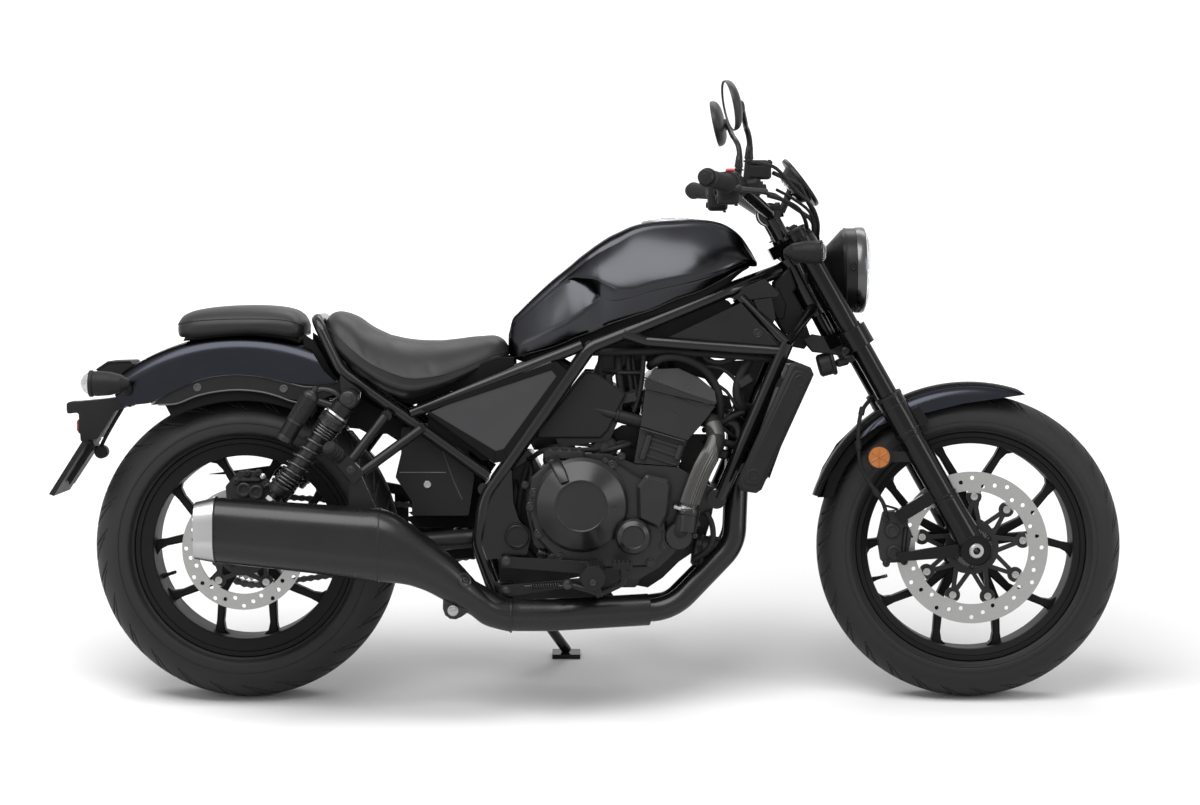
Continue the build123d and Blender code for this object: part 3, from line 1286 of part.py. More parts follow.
NODES = {
    "main_frame": main_frame,
    "rear_subframe": rear_subframe,
    "swingarm": swingarm,
    "crankcase": crankcase,
    "engine_covers": engine_covers,
    "cylinder_block": cylinder_block,
    "cylinder_head": cylinder_head,
    "intake": intake,
    "airbox": airbox,
    "frame_covers": frame_covers,
    "side_panels": side_panels,
    "radiator": radiator,
    "radiator_shrouds": radiator_shrouds,
    "coolant_hose": coolant_hose,
    "exhaust_pipes": exhaust_pipes,
    "muffler": muffler,
    "muffler_end": muffler_end,
    "fuel_tank": fuel_tank,
    "fuel_cap": fuel_cap,
    "rider_seat": rider_seat,
    "passenger_seat": passenger_seat,
    "rear_fender": rear_fender,
    "fender_valance": fender_valance,
    "inner_mudguard": inner_mudguard,
    "tail_lamp": tail_lamp,
    "plate_bracket": plate_bracket,
    "rear_indicators": rear_indicators,
    "rear_shocks": rear_shocks,
    "shock_springs": shock_springs,
    "rear_axle": rear_axle,
    "rear_caliper": rear_caliper,
    "drive_chain": drive_chain,
    "chain_guard": chain_guard,
    "footpegs": footpegs,
    "foot_controls": foot_controls,
    "passenger_pegs": passenger_pegs,
    "rear_rim": lambda: rim(WHEELS["rear"]),
    "rear_tyre": lambda: tyre(WHEELS["rear"]),
    "rear_disc": lambda: disc(DISCS["rear"], REAR_AXLE),
    "rear_sprocket": rear_sprocket,
    "front_rim": lambda: rim(WHEELS["front"]),
    "front_tyre": lambda: tyre(WHEELS["front"]),
    "front_disc": lambda: disc(DISCS["front"], FRONT_AXLE),
    "yokes": yokes,
    "fork_stanchions": fork_stanchions,
    "fork_sliders": fork_sliders,
    "front_axle": front_axle,
    "handlebar": handlebar,
    "grips": grips,
    "hand_controls": hand_controls,
    "mirrors": mirrors,
    "mirror_glass": mirror_glass,
    "headlamp": headlamp,
    "headlamp_lens": headlamp_lens,
    "instrument": instrument,
    "front_indicators": front_indicators,
    "front_fender": front_fender,
    "front_caliper": front_caliper,
    "control_hoses": control_hoses,
    "side_stand": side_stand,
}


def park(piece):
    """Lean a piece onto the side stand, over the middle of its box and on the road."""
    return Pos(-ORIGIN[0], -ORIGIN[1], ROAD_DROP) * Rot(-LEAN_DEG, 0, 0) * piece


if __name__ == "__main__":
    os.makedirs("parts", exist_ok=True)
    for name, make in NODES.items():
        export_step(park(make()), os.path.join("parts", name + ".step"))
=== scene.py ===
from itertools import product
from math import acos, atan, atan2, copysign, cos, pi, radians, sin, sqrt, tan

import bmesh
import bpy
from mathutils import Matrix, Vector
from mathutils.bvhtree import BVHTree


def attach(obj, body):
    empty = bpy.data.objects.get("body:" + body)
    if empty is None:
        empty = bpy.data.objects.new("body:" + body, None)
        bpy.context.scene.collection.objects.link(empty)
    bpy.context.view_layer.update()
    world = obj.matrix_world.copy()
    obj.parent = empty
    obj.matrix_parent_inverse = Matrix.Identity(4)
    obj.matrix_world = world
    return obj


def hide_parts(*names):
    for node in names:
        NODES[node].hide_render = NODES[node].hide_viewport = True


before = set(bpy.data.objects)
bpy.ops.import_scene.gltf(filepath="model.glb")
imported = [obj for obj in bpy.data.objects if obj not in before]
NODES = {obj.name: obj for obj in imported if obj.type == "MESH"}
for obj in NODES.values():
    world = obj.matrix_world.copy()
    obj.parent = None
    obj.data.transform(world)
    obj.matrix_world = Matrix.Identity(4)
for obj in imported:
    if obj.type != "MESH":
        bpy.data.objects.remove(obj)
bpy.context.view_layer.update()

# The machine is described upright, in millimetres, as the CAD source draws it: X forward from the
# rear axle, Y to its left, Z up from the road. PARK leans it onto its stand and turns it to metres.
LEAN = radians(9.0)
ORIGIN = Vector((717.57, 128.79, -1.231))
PARK = Matrix.Scale(0.001, 4) @ Matrix.Translation(-ORIGIN) @ Matrix.Rotation(-LEAN, 4, "X")
X, Y, Z = Vector((1, 0, 0)), Vector((0, 1, 0)), Vector((0, 0, 1))
SQUARE = (X, Y, Z)
SIDES = (-1, 1)
TYRE = 320.0
FRONT_HUB = Vector((1520.0, 0.0, 320.37))
REAR_HUB = Vector((0.0, 0.0, 320.0))
# the photograph's camera, and the millimetres of one of its 1200 x 805 pixels at the mid plane
CAMERA_X, CAMERA_Y, CAMERA_Z = 742.6, -6000.0, 877.0
CAMERA = Vector((CAMERA_X, CAMERA_Y, CAMERA_Z))
FRAME_MIDDLE = (600, 281)
PIXEL = 2.109


# ---- materials ----
def feed(tree, made, values):
    """Set a node's inputs; a socket is linked, any other value is a constant."""
    for key, value in values.items():
        if isinstance(value, bpy.types.NodeSocket):
            tree.links.new(value, made.inputs[key])
        else:
            made.inputs[key].default_value = value


def node(tree, kind, values, **settings):
    made = tree.nodes.new("ShaderNode" + kind)
    for key, value in settings.items():
        setattr(made, key, value)
    feed(tree, made, values)
    return made


def new_material(name):
    material = bpy.data.materials.new(name)
    material.use_nodes = True
    tree = material.node_tree
    tree.nodes.clear()
    shader = node(tree, "BsdfPrincipled", {})
    node(tree, "OutputMaterial", {0: shader.outputs[0]})
    return material, tree, shader


def noise(tree, scale, detail=3.0, rough=0.5, stretch=(1, 1, 1)):
    """Noise in object space, in cycles per metre."""
    place = node(tree, "TexCoord", {}).outputs["Object"]
    mapped = node(tree, "Mapping", {0: place, "Scale": stretch}).outputs[0]
    return node(tree, "TexNoise", {"Vector": mapped, "Scale": scale, "Detail": detail,
                                   "Roughness": rough}).outputs["Fac"]


def ramp(tree, source, low, high, value_low, value_high):
    """Map a value between two levels to a range."""
    return node(tree, "MapRange", {"Value": source, "From Min": low, "From Max": high,
                                   "To Min": value_low, "To Max": value_high}).outputs["Result"]


def tint(tree, source, dark, light):
    """Blend a colour into another, or into a socket's, by a value."""
    top = light if isinstance(light, bpy.types.NodeSocket) else (*light, 1)
    return node(tree, "Mix", {0: source, 6: (*dark, 1), 7: top}, data_type="RGBA").outputs[2]


def bump(tree, shader, source, depth, edge):
    """Fine relief in metres, over rounded edges where edge is above 0."""
    values = {"Distance": depth, "Strength": 1.0, "Height": source}
    if edge:
        values["Normal"] = node(tree, "Bevel", {"Radius": edge}, samples=4).outputs[0]
    feed(tree, shader, {"Normal": node(tree, "Bump", values).outputs[0]})


def coated(name, red, green, blue, rough, metal, coat, grain, relief, vary, edge, specular, rim):
    """Painted, cast or moulded surface: grain, patchy gloss and softened edges."""
    material, tree, shader = new_material(name)
    colour = (red, green, blue)
    patch = noise(tree, 14.0, 4.0)
    fine = noise(tree, grain, 2.0)
    feed(tree, shader, {
        "Base Color": tint(tree, patch, [c * (1 - vary) for c in colour],
                           [min(1.0, c * (1 + vary)) for c in colour]),
        "Roughness": ramp(tree, patch, 0.25, 0.75, rough * 0.88, min(1.0, rough * 1.14)),
        "Metallic": metal, "Coat Weight": coat, "Coat Roughness": 0.04,
        "Specular IOR Level": specular, "Specular Tint": (rim, rim, rim, 1)})
    bump(tree, shader, fine, relief * 1e-6, edge * 1e-3)
    return material


def brushed(name, colour, rough, stretch, scale):
    """Bare metal with drawn grain."""
    material, tree, shader = new_material(name)
    lines = noise(tree, scale, 3.0, 0.6, stretch)
    feed(tree, shader, {
        "Roughness": ramp(tree, lines, 0.3, 0.7, rough * 0.75, rough * 1.3),
        "Base Color": tint(tree, lines, [c * 0.85 for c in colour], colour), "Metallic": 1.0})
    bump(tree, shader, lines, 1e-5, 6e-4)
    return material


def lens_material(name, colour, rough, ior):
    material, tree, shader = new_material(name)
    feed(tree, shader, {"Roughness": ramp(tree, noise(tree, 40.0), 0, 1, rough, rough * 2),
                        "Base Color": (*colour, 1), "Transmission Weight": 1.0, "IOR": ior})
    return material


def disc_material(name, hub, ring_low):
    """Steel brake ring outside a radius, on a black carrier."""
    material, tree, shader = new_material(name)
    edge = 0.0006
    place = node(tree, "TexCoord", {}).outputs["Object"]
    spoke = node(tree, "VectorMath", {0: place, 1: PARK @ hub}, operation="SUBTRACT").outputs[0]
    square = node(tree, "VectorMath", {0: spoke, 1: (PARK.to_3x3() @ Y).normalized()},
                  operation="CROSS_PRODUCT").outputs[0]
    radius = node(tree, "VectorMath", {0: square}, operation="LENGTH").outputs["Value"]
    on_ring = ramp(tree, radius, ring_low / 1000 - edge, ring_low / 1000 + edge, 0, 1)
    lines = noise(tree, 500.0, 3.0, 0.6)
    steel = tint(tree, lines, (0.27, 0.27, 0.265), (0.38, 0.38, 0.375))
    feed(tree, shader, {"Base Color": tint(tree, on_ring, (0.012, 0.012, 0.012), steel),
                        "Metallic": on_ring, "Roughness": ramp(tree, on_ring, 0, 1, 0.45, 0.36),
                        "Specular IOR Level": 0.25})
    bump(tree, shader, lines, 1e-5, edge)
    return material


# red, green, blue, roughness, metal, coat, grain per metre, relief in micrometres, variation of
# the colour, rounding of edges in millimetres, specular level, level of the metal's rim
FINISHES = {
    "gloss_black": (0.005, 0.005, 0.0055, 0.17, 0, 0, 900, 4, 0.25, 1.2, 0.3, 1),
    "fork_black": (0.003, 0.003, 0.0032, 0.16, 0, 0, 900, 4, 0.25, 1.2, 0.2, 1),
    "satin_black": (0.007, 0.007, 0.0072, 0.34, 0, 0, 900, 20, 0.25, 1.2, 0.2, 1),
    "cast_black": (0.012, 0.012, 0.0122, 0.5, 0, 0, 700, 50, 0.25, 1.2, 0.26, 1),
    "engine_grey": (0.014, 0.014, 0.0142, 0.3, 0.35, 0, 600, 30, 0.25, 1.2, 0.42, 1),
    "plastic": (0.01, 0.01, 0.0102, 0.5, 0, 0, 1100, 40, 0.25, 1.2, 0.16, 1),
    "paint": (0.035, 0.0355, 0.039, 0.25, 1, 0.04, 2200, 2, 0.08, 0, 0.5, 0.3),
    "fender_paint": (0.024, 0.0255, 0.031, 0.24, 1, 0.05, 2200, 2, 0.08, 1.2, 0.5, 0.2),
    "tray_black": (0.004, 0.004, 0.004, 0.7, 0, 0, 900, 10, 0.25, 1.2, 0.1, 1),
    "panel_grey": (0.05, 0.05, 0.052, 0.36, 0.7, 0, 900, 20, 0.06, 1.2, 0.3, 1),
    "rubber": (0.01, 0.01, 0.01, 0.66, 0, 0, 500, 60, 0.25, 1.2, 0.2, 1),
    "heat_black": (0.004, 0.004, 0.004, 0.27, 0, 0, 800, 8, 0.25, 1.2, 0.34, 1),
    "vinyl": (0.013, 0.013, 0.0133, 0.42, 0, 0, 420, 140, 0.25, 1.2, 0.22, 1),
    "amber": (0.36, 0.105, 0.003, 0.25, 0, 0.3, 900, 20, 0.25, 1.2, 0.5, 1),
    "tyre": (0.011, 0.011, 0.0113, 0.58, 0, 0, 650, 50, 0.18, 0, 0.26, 1),
    "grip_rubber": (0.01, 0.01, 0.01, 0.62, 0, 0, 800, 50, 0.25, 1.2, 0.2, 1),
    "thread": (0.03, 0.03, 0.031, 0.7, 0, 0, 2500, 50, 0.25, 0, 0.5, 1),
    "ring_grey": (0.085, 0.085, 0.087, 0.26, 1, 0.1, 900, 4, 0.06, 1.2, 0.5, 1),
    "cap_metal": (0.3, 0.3, 0.31, 0.3, 0.9, 0.3, 900, 6, 0.08, 1.2, 0.5, 1),
    "lamp_bowl": (0.62, 0.63, 0.65, 0.16, 1, 0, 900, 4, 0.05, 1.2, 0.5, 1),
    "red_plastic": (0.62, 0.02, 0.03, 0.35, 0, 0.3, 900, 20, 0.08, 1.2, 0.5, 1),
    "mirror_shell": (0.014, 0.014, 0.0145, 0.45, 0, 0, 1000, 30, 0.25, 1.2, 0.3, 1),
    "dial_glass": (0.008, 0.008, 0.009, 0.08, 0, 0.6, 900, 1, 0.1, 0, 0.5, 1),
    "end_steel": (0.36, 0.36, 0.36, 0.3, 1, 0, 900, 2, 0.04, 1.2, 0.5, 1),
    "rim_black": (0.007, 0.007, 0.0072, 0.48, 0, 0, 900, 10, 0.25, 1.2, 0.12, 1),
    "sleeve": (0.045, 0.044, 0.042, 0.42, 0.2, 0, 900, 30, 0.25, 0, 0.5, 1),
    "screw_black": (0.035, 0.035, 0.036, 0.3, 0.7, 0, 900, 6, 0.25, 1.2, 0.4, 1),
    "pale_mark": (0.7, 0.7, 0.7, 0.5, 0, 0, 900, 20, 0.05, 0, 0.5, 1),
    "red_lens": (0.25, 0.012, 0.01, 0.2, 0, 0.5, 900, 20, 0.25, 1.2, 0.5, 1),
    "clear_lens": (0.42, 0.43, 0.44, 0.2, 0.6, 0.6, 900, 10, 0.2, 1.2, 0.5, 1),
    "spring_black": (0.02, 0.02, 0.02, 0.24, 0.4, 0.4, 900, 4, 0.25, 0, 0.5, 1),
    "shock_black": (0.02, 0.02, 0.02, 0.36, 0.4, 0, 900, 10, 0.25, 1.2, 0.35, 1),
    "valance_edge": (0.05, 0.05, 0.051, 0.38, 0, 0, 900, 10, 0.25, 0, 0.4, 1),
}
MATERIALS = {name: coated(name, *row) for name, row in FINISHES.items()}
for name, grey, rough, stretch, scale in (
        ("steel", (0.42, 0.42, 0.41), 0.3, (1, 1, 1), 300),
        ("stainless", (0.34, 0.34, 0.34), 0.28, (0.15, 1, 1), 500),
        ("chain_steel", (0.09, 0.09, 0.09), 0.38, (1, 1, 1), 300),
        ("mirror", (0.85, 0.86, 0.87), 0.02, (1, 1, 1), 5)):
    MATERIALS[name] = brushed(name, grey, rough, stretch, scale)
MATERIALS["lens"] = lens_material("lens", (0.95, 0.97, 0.98), 0.02, 1.49)
MATERIALS["rear_disc_steel"] = disc_material("rear_disc_steel", REAR_HUB, 92)
MATERIALS["front_disc_steel"] = disc_material("front_disc_steel", Vector((1520, 0, 320)), 115)
for name, nodes in {
        "gloss_black": "main_frame rear_subframe handlebar shock_springs side_stand",
        "fork_black": "yokes fork_stanchions fork_sliders",
        "satin_black": "swingarm headlamp rear_shocks passenger_pegs footpegs foot_controls "
                       "instrument",
        "cast_black": "front_caliper rear_caliper cylinder_block radiator",
        "engine_grey": "crankcase engine_covers cylinder_head fuel_cap",
        "plastic": "intake airbox frame_covers radiator_shrouds fender_valance inner_mudguard "
                   "plate_bracket chain_guard hand_controls mirrors front_indicators "
                   "rear_indicators tail_lamp",
        "paint": "fuel_tank", "fender_paint": "rear_fender front_fender",
        "panel_grey": "side_panels", "heat_black": "exhaust_pipes muffler",
        "rubber": "coolant_hose rear_tyre front_tyre grips control_hoses",
        "vinyl": "rider_seat passenger_seat", "steel": "rear_axle front_axle rear_sprocket",
        "rear_disc_steel": "rear_disc", "front_disc_steel": "front_disc",
        "end_steel": "muffler_end", "rim_black": "rear_rim front_rim",
        "chain_steel": "drive_chain", "mirror": "mirror_glass", "lens": "headlamp_lens",
}.items():
    for cad_node in nodes.split():
        NODES[cad_node].data.materials.clear()
        NODES[cad_node].data.materials.append(MATERIALS[name])


# ---- mesh tools, all in upright millimetres ----
def unit(v):
    return Vector(v).normalized()


def tilted(slope):
    """Axes of a box whose length climbs by a slope."""
    return (X + Z * slope, Y, Z - X * slope)


def side_axes(direction):
    """Two directions square to one, the first level where it can be."""
    d = unit(direction)
    u = (Z if abs(d.z) < 0.95 else X).cross(d).normalized()
    return u, d.cross(u)


def around(count, start=0.0):
    """Cosine and sine of even angles round a circle, begun a share of one step on."""
    return [(cos(2 * pi * (k + start) / count), sin(2 * pi * (k + start) / count))
            for k in range(count)]


def circle(centre, u, v, count, start=0.0):
    return [centre + u * c + v * s for c, s in around(count, start)]


def swung(degrees):
    """Direction at an angle up from straight ahead."""
    return Vector((cos(radians(degrees)), 0, sin(radians(degrees))))


def smooth_path(points, steps=6):
    """Points of a Catmull-Rom curve through the given ones."""
    pts = [Vector(p) for p in points]
    last = len(pts) - 1
    out = []
    for i in range(last):
        a, b, c, d = (pts[min(max(i + k, 0), last)] for k in (-1, 0, 1, 2))
        for t in (s / steps for s in range(steps)):
            out.append(0.5 * (2 * b + (c - a) * t + (2 * a - 5 * b + 4 * c - d) * t * t
                              + (3 * b - a - 3 * c + d) * t * t * t))
    return [*out, pts[-1]]


def curve_value(table, x, column):
    """Smooth value of one column of a table sorted on its first."""
    rows = len(table)
    i = 0
    while i < rows - 2 and x > table[i + 1][0]:
        i += 1
    (x0, y0), (x1, y1) = ((table[k][0], table[k][column]) for k in (i, i + 1))
    t = min(max((x - x0) / (x1 - x0), 0.0), 1.0)
    m0 = (y1 - y0) if i == 0 else (y1 - table[i - 1][column]) / (x1 - table[i - 1][0]) * (x1 - x0)
    m1 = ((y1 - y0) if i == rows - 2
          else (table[i + 2][column] - y0) / (table[i + 2][0] - x0) * (x1 - x0))
    t2, t3 = t * t, t * t * t
    return ((2 * t3 - 3 * t2 + 1) * y0 + (t3 - 2 * t2 + t) * m0 + (3 * t2 - 2 * t3) * y1
            + (t3 - t2) * m1)


def step_up(low, high, x):
    t = min(max((x - low) / (high - low), 0.0), 1.0)
    return t * t * (3 - 2 * t)


def eased(t, share):
    """Even steps drawn together towards both ends."""
    return (1 - cos(pi * t)) / 2 * share + t * (1 - share)


def swollen(ring, share, by=0.0, shift=Vector()):
    """A ring scaled about its middle, then grown by some millimetres and moved."""
    middle = sum(ring, Vector()) / len(ring)
    return [middle + (p - middle) * share + unit(p - middle) * by + shift for p in ring]


def close_ends(rows, steps):
    """Draw in both ends of a loft by rings of (share of the size, step outwards)."""
    for end, way in ((0, -1), (-1, 1)):
        ring = rows[end]
        for share, reach in steps:
            rows.insert(0 if end == 0 else len(rows), swollen(ring, share, 0, X * way * reach))


def at(px, py, y):
    """Point at a depth y that the camera sees at a place in the 1200 x 805 photograph."""
    scale = PIXEL * (1 - y / CAMERA_Y)
    return Vector((CAMERA_X + (px - FRAME_MIDDLE[0]) * scale, y,
                   CAMERA_Z + (FRAME_MIDDLE[1] - py) * scale))


TREES = {}


def seen(cad_node, px, py):
    """Where the camera's line through a place in the photograph meets a CAD node."""
    if cad_node not in TREES:
        piece = NODES[cad_node]
        upright = PARK.inverted() @ piece.matrix_world
        TREES[cad_node] = BVHTree.FromPolygons([upright @ v.co for v in piece.data.vertices],
                                               [tuple(p.vertices) for p in piece.data.polygons])
    return TREES[cad_node].ray_cast(CAMERA, unit(at(px, py, 0) - CAMERA))[0]


class Batch:
    """Pieces of one material that ride together, gathered into one mesh."""

    def __init__(self):
        self.verts = []
        self.faces = []

    def add(self, verts, faces):
        base = len(self.verts)
        self.verts += [Vector(v) for v in verts]
        self.faces += [tuple(i + base for i in face) for face in faces]
        return self

    def skin(self, rows, round_rows=False, ends=True):
        """Faces over rows of points; each row is a closed ring."""
        n, m = len(rows), len(rows[0])
        faces = []
        for i in range(n if round_rows else n - 1):
            j = (i + 1) % n
            faces += [(i * m + k, i * m + (k + 1) % m, j * m + (k + 1) % m, j * m + k)
                      for k in range(m)]
        if ends and not round_rows:
            faces += [tuple(range(m)), tuple((n - 1) * m + k for k in reversed(range(m)))]
        return self.add([p for row in rows for p in row], faces)

    def lathe(self, profile, centre, axis, segments=40, closed=True):
        """Profile of (radius, along) points spun about an axis through centre."""
        (u, v), d, centre = side_axes(axis), unit(axis), Vector(centre)
        rows = [circle(centre + d * along, u * max(r, 0.0001), v * max(r, 0.0001), segments)
                for r, along in profile]
        return self.skin(rows, closed, ends=False)

    def cap(self, profile, centre, axis, segments=24):
        """Spun profile that starts or ends on the axis, or is left open."""
        return self.lathe(profile, centre, axis, segments, closed=False)

    def tube(self, points, radius, sides=12, closed=False):
        """Tube of one radius, or one for each point."""
        pts = [Vector(p) for p in points]
        n = len(pts)
        radii = radius if isinstance(radius, list) else [radius] * n
        rows = []
        u = None
        for i, p in enumerate(pts):
            if closed:
                d = unit(pts[(i + 1) % n] - pts[i - 1])
            else:
                d = unit(pts[min(i + 1, n - 1)] - pts[max(i - 1, 0)])
            u = side_axes(d)[0] if u is None else u
            u = unit(u - d * u.dot(d))
            rows.append(circle(p, u * radii[i], d.cross(u) * radii[i], sides))
        return self.skin(rows, closed)

    def hose(self, points, radius, steps=6, sides=10):
        return self.tube(smooth_path(points, steps), radius, sides)

    def plate(self, outline, y_low, y_high, soft=1.2):
        """Flat plate across the machine from (x, z) points, with softened edges."""
        pts = [Vector(p) for p in outline]
        n = len(pts)
        area = sum(pts[k - 1].x * pts[k].y - pts[k].x * pts[k - 1].y for k in range(n))
        inward = []
        for i, b in enumerate(pts):
            d1, d2 = unit(b - pts[i - 1]), unit(pts[(i + 1) % n] - b)
            n1 = Vector((d1.y, -d1.x))
            between = n1 + Vector((d2.y, -d2.x))
            inward.append(between / max(between.dot(n1), 0.35) * (1 if area > 0 else -1))
        rows = [[(q.x, y, q.y) for q in (p - way * inset for p, way in zip(pts, inward))]
                for y, inset in ((y_low, soft), (y_low + soft, 0), (y_high - soft, 0),
                                 (y_high, soft))]
        return self.skin(rows)

    def trace(self, outline, y, y_low, y_high, soft):
        """Plate whose outline is traced in the photograph at a depth y."""
        return self.plate([(p.x, p.z) for p in (at(px, py, y) for px, py in outline)],
                          y_low, y_high, soft)

    def block(self, centre, axes, size, soft=1.5):
        """Box with chamfered edges along three given directions."""
        a, b, c = (unit(x) for x in axes)
        hx, hy, hz = (s / 2 for s in size)
        rows = []
        for z, inset in ((-hz, soft), (soft - hz, 0), (hz - soft, 0), (hz, soft)):
            x, y = hx - inset, hy - inset
            rows.append([Vector(centre) + a * i + b * j + c * z for i, j in
                         ((soft - x, -y), (x - soft, -y), (x, soft - y), (x, y - soft),
                          (x - soft, y), (soft - x, y), (-x, y - soft), (-x, soft - y))])
        return self.skin(rows)

    def bolt(self, centre, axis, radius, height, socket=True):
        """Cap screw with its socket, or a hexagon head, standing on a surface."""
        centre, d = Vector(centre), unit(axis)
        u, v = side_axes(axis)

        def rings(profile, count):
            return [circle(centre + d * along, u * r, v * r, count) for r, along in profile]
        if socket:
            return self.skin(rings(((radius, -1.0), (radius, height - radius * 0.15),
                                    (radius * 0.88, height), (radius * 0.52, height),
                                    (radius * 0.5, height * 0.45)), 12))
        self.skin(rings(((radius * 1.25, -1.0), (radius * 1.25, height * 0.2),
                         (radius * 0.95, height * 0.3)), 12))
        return self.skin(rings(((radius, height * 0.2), (radius, height * 0.9),
                                (radius * 0.85, height)), 6))

    def mirror(self):
        """Add the mirror image on the other side of the machine."""
        return self.add([Vector((v.x, -v.y, v.z)) for v in self.verts],
                        [tuple(reversed(face)) for face in self.faces])

    def make(self, name, body, material, angle=38.0, hides=(), weld=True, turn=True):
        """The batch as one object on a body, its faces welded and turned outwards if asked."""
        mesh = bpy.data.meshes.new(name)
        mesh.from_pydata([PARK @ v for v in self.verts], [], self.faces)
        if turn:
            work = bmesh.new()
            work.from_mesh(mesh)
            if weld:
                bmesh.ops.remove_doubles(work, verts=work.verts, dist=0.00001)
                bmesh.ops.dissolve_degenerate(work, dist=0.00001, edges=work.edges)
            bmesh.ops.recalc_face_normals(work, faces=work.faces)
            work.to_mesh(mesh)
            work.free()
        mesh.polygons.foreach_set("use_smooth", [True] * len(mesh.polygons))
        mesh.set_sharp_from_angle(angle=radians(angle))
        mesh.materials.append(MATERIALS[material])
        mesh.update()
        piece = bpy.data.objects.new(name, mesh)
        bpy.context.scene.collection.objects.link(piece)
        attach(piece, body)
        if hides:
            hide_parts(*hides)
        return piece


bpy.context.view_layer.update()


# ---- fuel tank ----
TANK = [
    # x, top z, spine edge y, z, crease y, z, fin in, down, fold y, z, lower edge y, z
    (552, 772, 10, 762, 17, 758, 0.5, 1.5, 23, 744, 23, 724),
    (558, 796, 24, 781, 29, 779, 0.8, 2, 43, 743, 41, 720),
    (570, 810, 37, 794, 41, 792, 0.8, 2, 58, 744, 55, 720),
    (600, 840, 47, 822, 51, 820, 0.8, 2.5, 76, 753, 69, 728),
    (640, 877, 56, 857, 60, 855, 0.8, 2.5, 92, 772, 82, 739),
    (672, 903, 62, 884, 69, 879, 1.0, 3, 102, 785, 89, 751),
    (684, 913, 65, 894, 77, 884, 5, 5, 105, 794, 92, 757),
    (700, 927, 69, 907, 92, 884, 14, 9, 108, 805, 96, 763),
    (716, 939, 73, 920, 105, 883, 20, 13, 111, 820, 100, 769),
    (728, 948, 75, 928, 114, 882, 20, 24, 113, 830, 103, 774),
    (735, 953, 76, 933, 119, 880, 15, 31, 115, 838, 105, 777),
    (741, 957, 77, 937, 124, 877, 8, 33, 117, 842, 107, 780),
    (750, 963, 78, 942, 130, 873, 8, 31, 121.5, 840, 109, 784),
    (765, 972, 80, 951, 138, 865, 9, 27, 128, 836, 111, 790),
    (780, 979, 82, 959, 145, 859, 9, 21, 134, 836, 115, 795),
    (812, 993, 85, 978, 152, 859, 7, 13, 143, 843, 122, 806),
    (850, 1001, 87, 988, 156, 870, 6, 11, 147, 855, 128, 819),
    (900, 1005, 88, 991, 156, 881, 6, 11, 147, 866, 130, 841),
    (950, 1006, 84, 993, 150, 891, 6, 10, 141, 878, 125, 858),
    (1000, 997, 74, 984, 134, 903, 4, 6, 128, 895, 110, 884),
    (1035, 974, 60, 963, 112, 917, 3, 3, 107, 911, 90, 903),
    (1058, 942, 42, 936, 84, 920, 2, 2, 80, 915, 64, 908),
    (1070, 921, 24, 918, 50, 914, 1, 1, 46, 911, 38, 907),
]
TANK_STEPS = 150
GAP_FILL_STEPS = 44


def bend(a, b, c, d, count):
    """Points of a cubic curve, without its last one."""
    return [tuple((1 - t) ** 3 * p + 3 * (1 - t) ** 2 * t * q + 3 * (1 - t) * t * t * r + t ** 3 * s
                  for p, q, r, s in zip(a, b, c, d)) for t in (i / count for i in range(count))]


def tank_ring(x):
    """The tank's section at x, from its spine round to the tunnel and back."""
    top, ey, ez, cy, cz, dish, down, fy, fz, ly, lz = (curve_value(TANK, x, c)
                                                       for c in range(1, 12))
    wide, tall, fall = cy - ey, ez - cz, cz - down - fz
    wy, wz = cy - dish, cz - down
    out = min(3.0, fall * 0.05)
    spine = bend((0, top), (ey * 0.5, top), (ey * 0.99, top - (top - ez) * 0.12), (ey, ez), 14)
    side = bend((ey + 0.6, ez - 0.4), (ey + wide * 0.42 + 1, ez - tall * 0.26),
                (cy - wide * 0.14 + 1, cz + tall * 0.34), (cy, cz + 1.0), 16)
    wall = [(cy + 0.2, cz), (cy - 0.7, cz - 1.6), (cy - dish * 0.5 - 0.3, cz - down * 0.5),
            (cy - dish * 0.85, cz - down * 0.85)]
    panel = bend((wy, wz), (wy + (fy - wy) * 0.33 + out, wz - fall * 0.32),
                 (wy + (fy - wy) * 0.72 + out, fz + fall * 0.28), (fy + 0.3, fz + 1.4), 12)
    skirt = bend((fy, fz), (fy - (fy - ly) * 0.33 + 1, fz - (fz - lz) * 0.33),
                 (fy - (fy - ly) * 0.67 + 1, lz + (fz - lz) * 0.33), (ly + 1.6, lz + 1.2), 6)
    rise = max(6.0, min(46.0, top - lz - 14))
    inner = min(ly - 7, 80)
    rim = [(ly + 1.5, lz + 0.8), (ly, lz), (ly - 3, lz + 1), (inner, lz + 4),
           (inner * 0.9, lz + rise * 0.8), (0, lz + rise)]
    half = [*spine, *side, *wall, *panel, *skirt, *rim]
    return [Vector((x, -y, z)) for y, z in half] + [Vector((x, y, z)) for y, z in half[-2:0:-1]]


tank_rows = [tank_ring(TANK[0][0] + (TANK[-1][0] - TANK[0][0]) * eased(step / TANK_STEPS, 0.45))
             for step in range(TANK_STEPS + 1)]
close_ends(tank_rows, [(0.6, 2.0)])
Batch().skin(tank_rows).make("tank_shell", "chassis", "paint", 55, ["fuel_tank"])
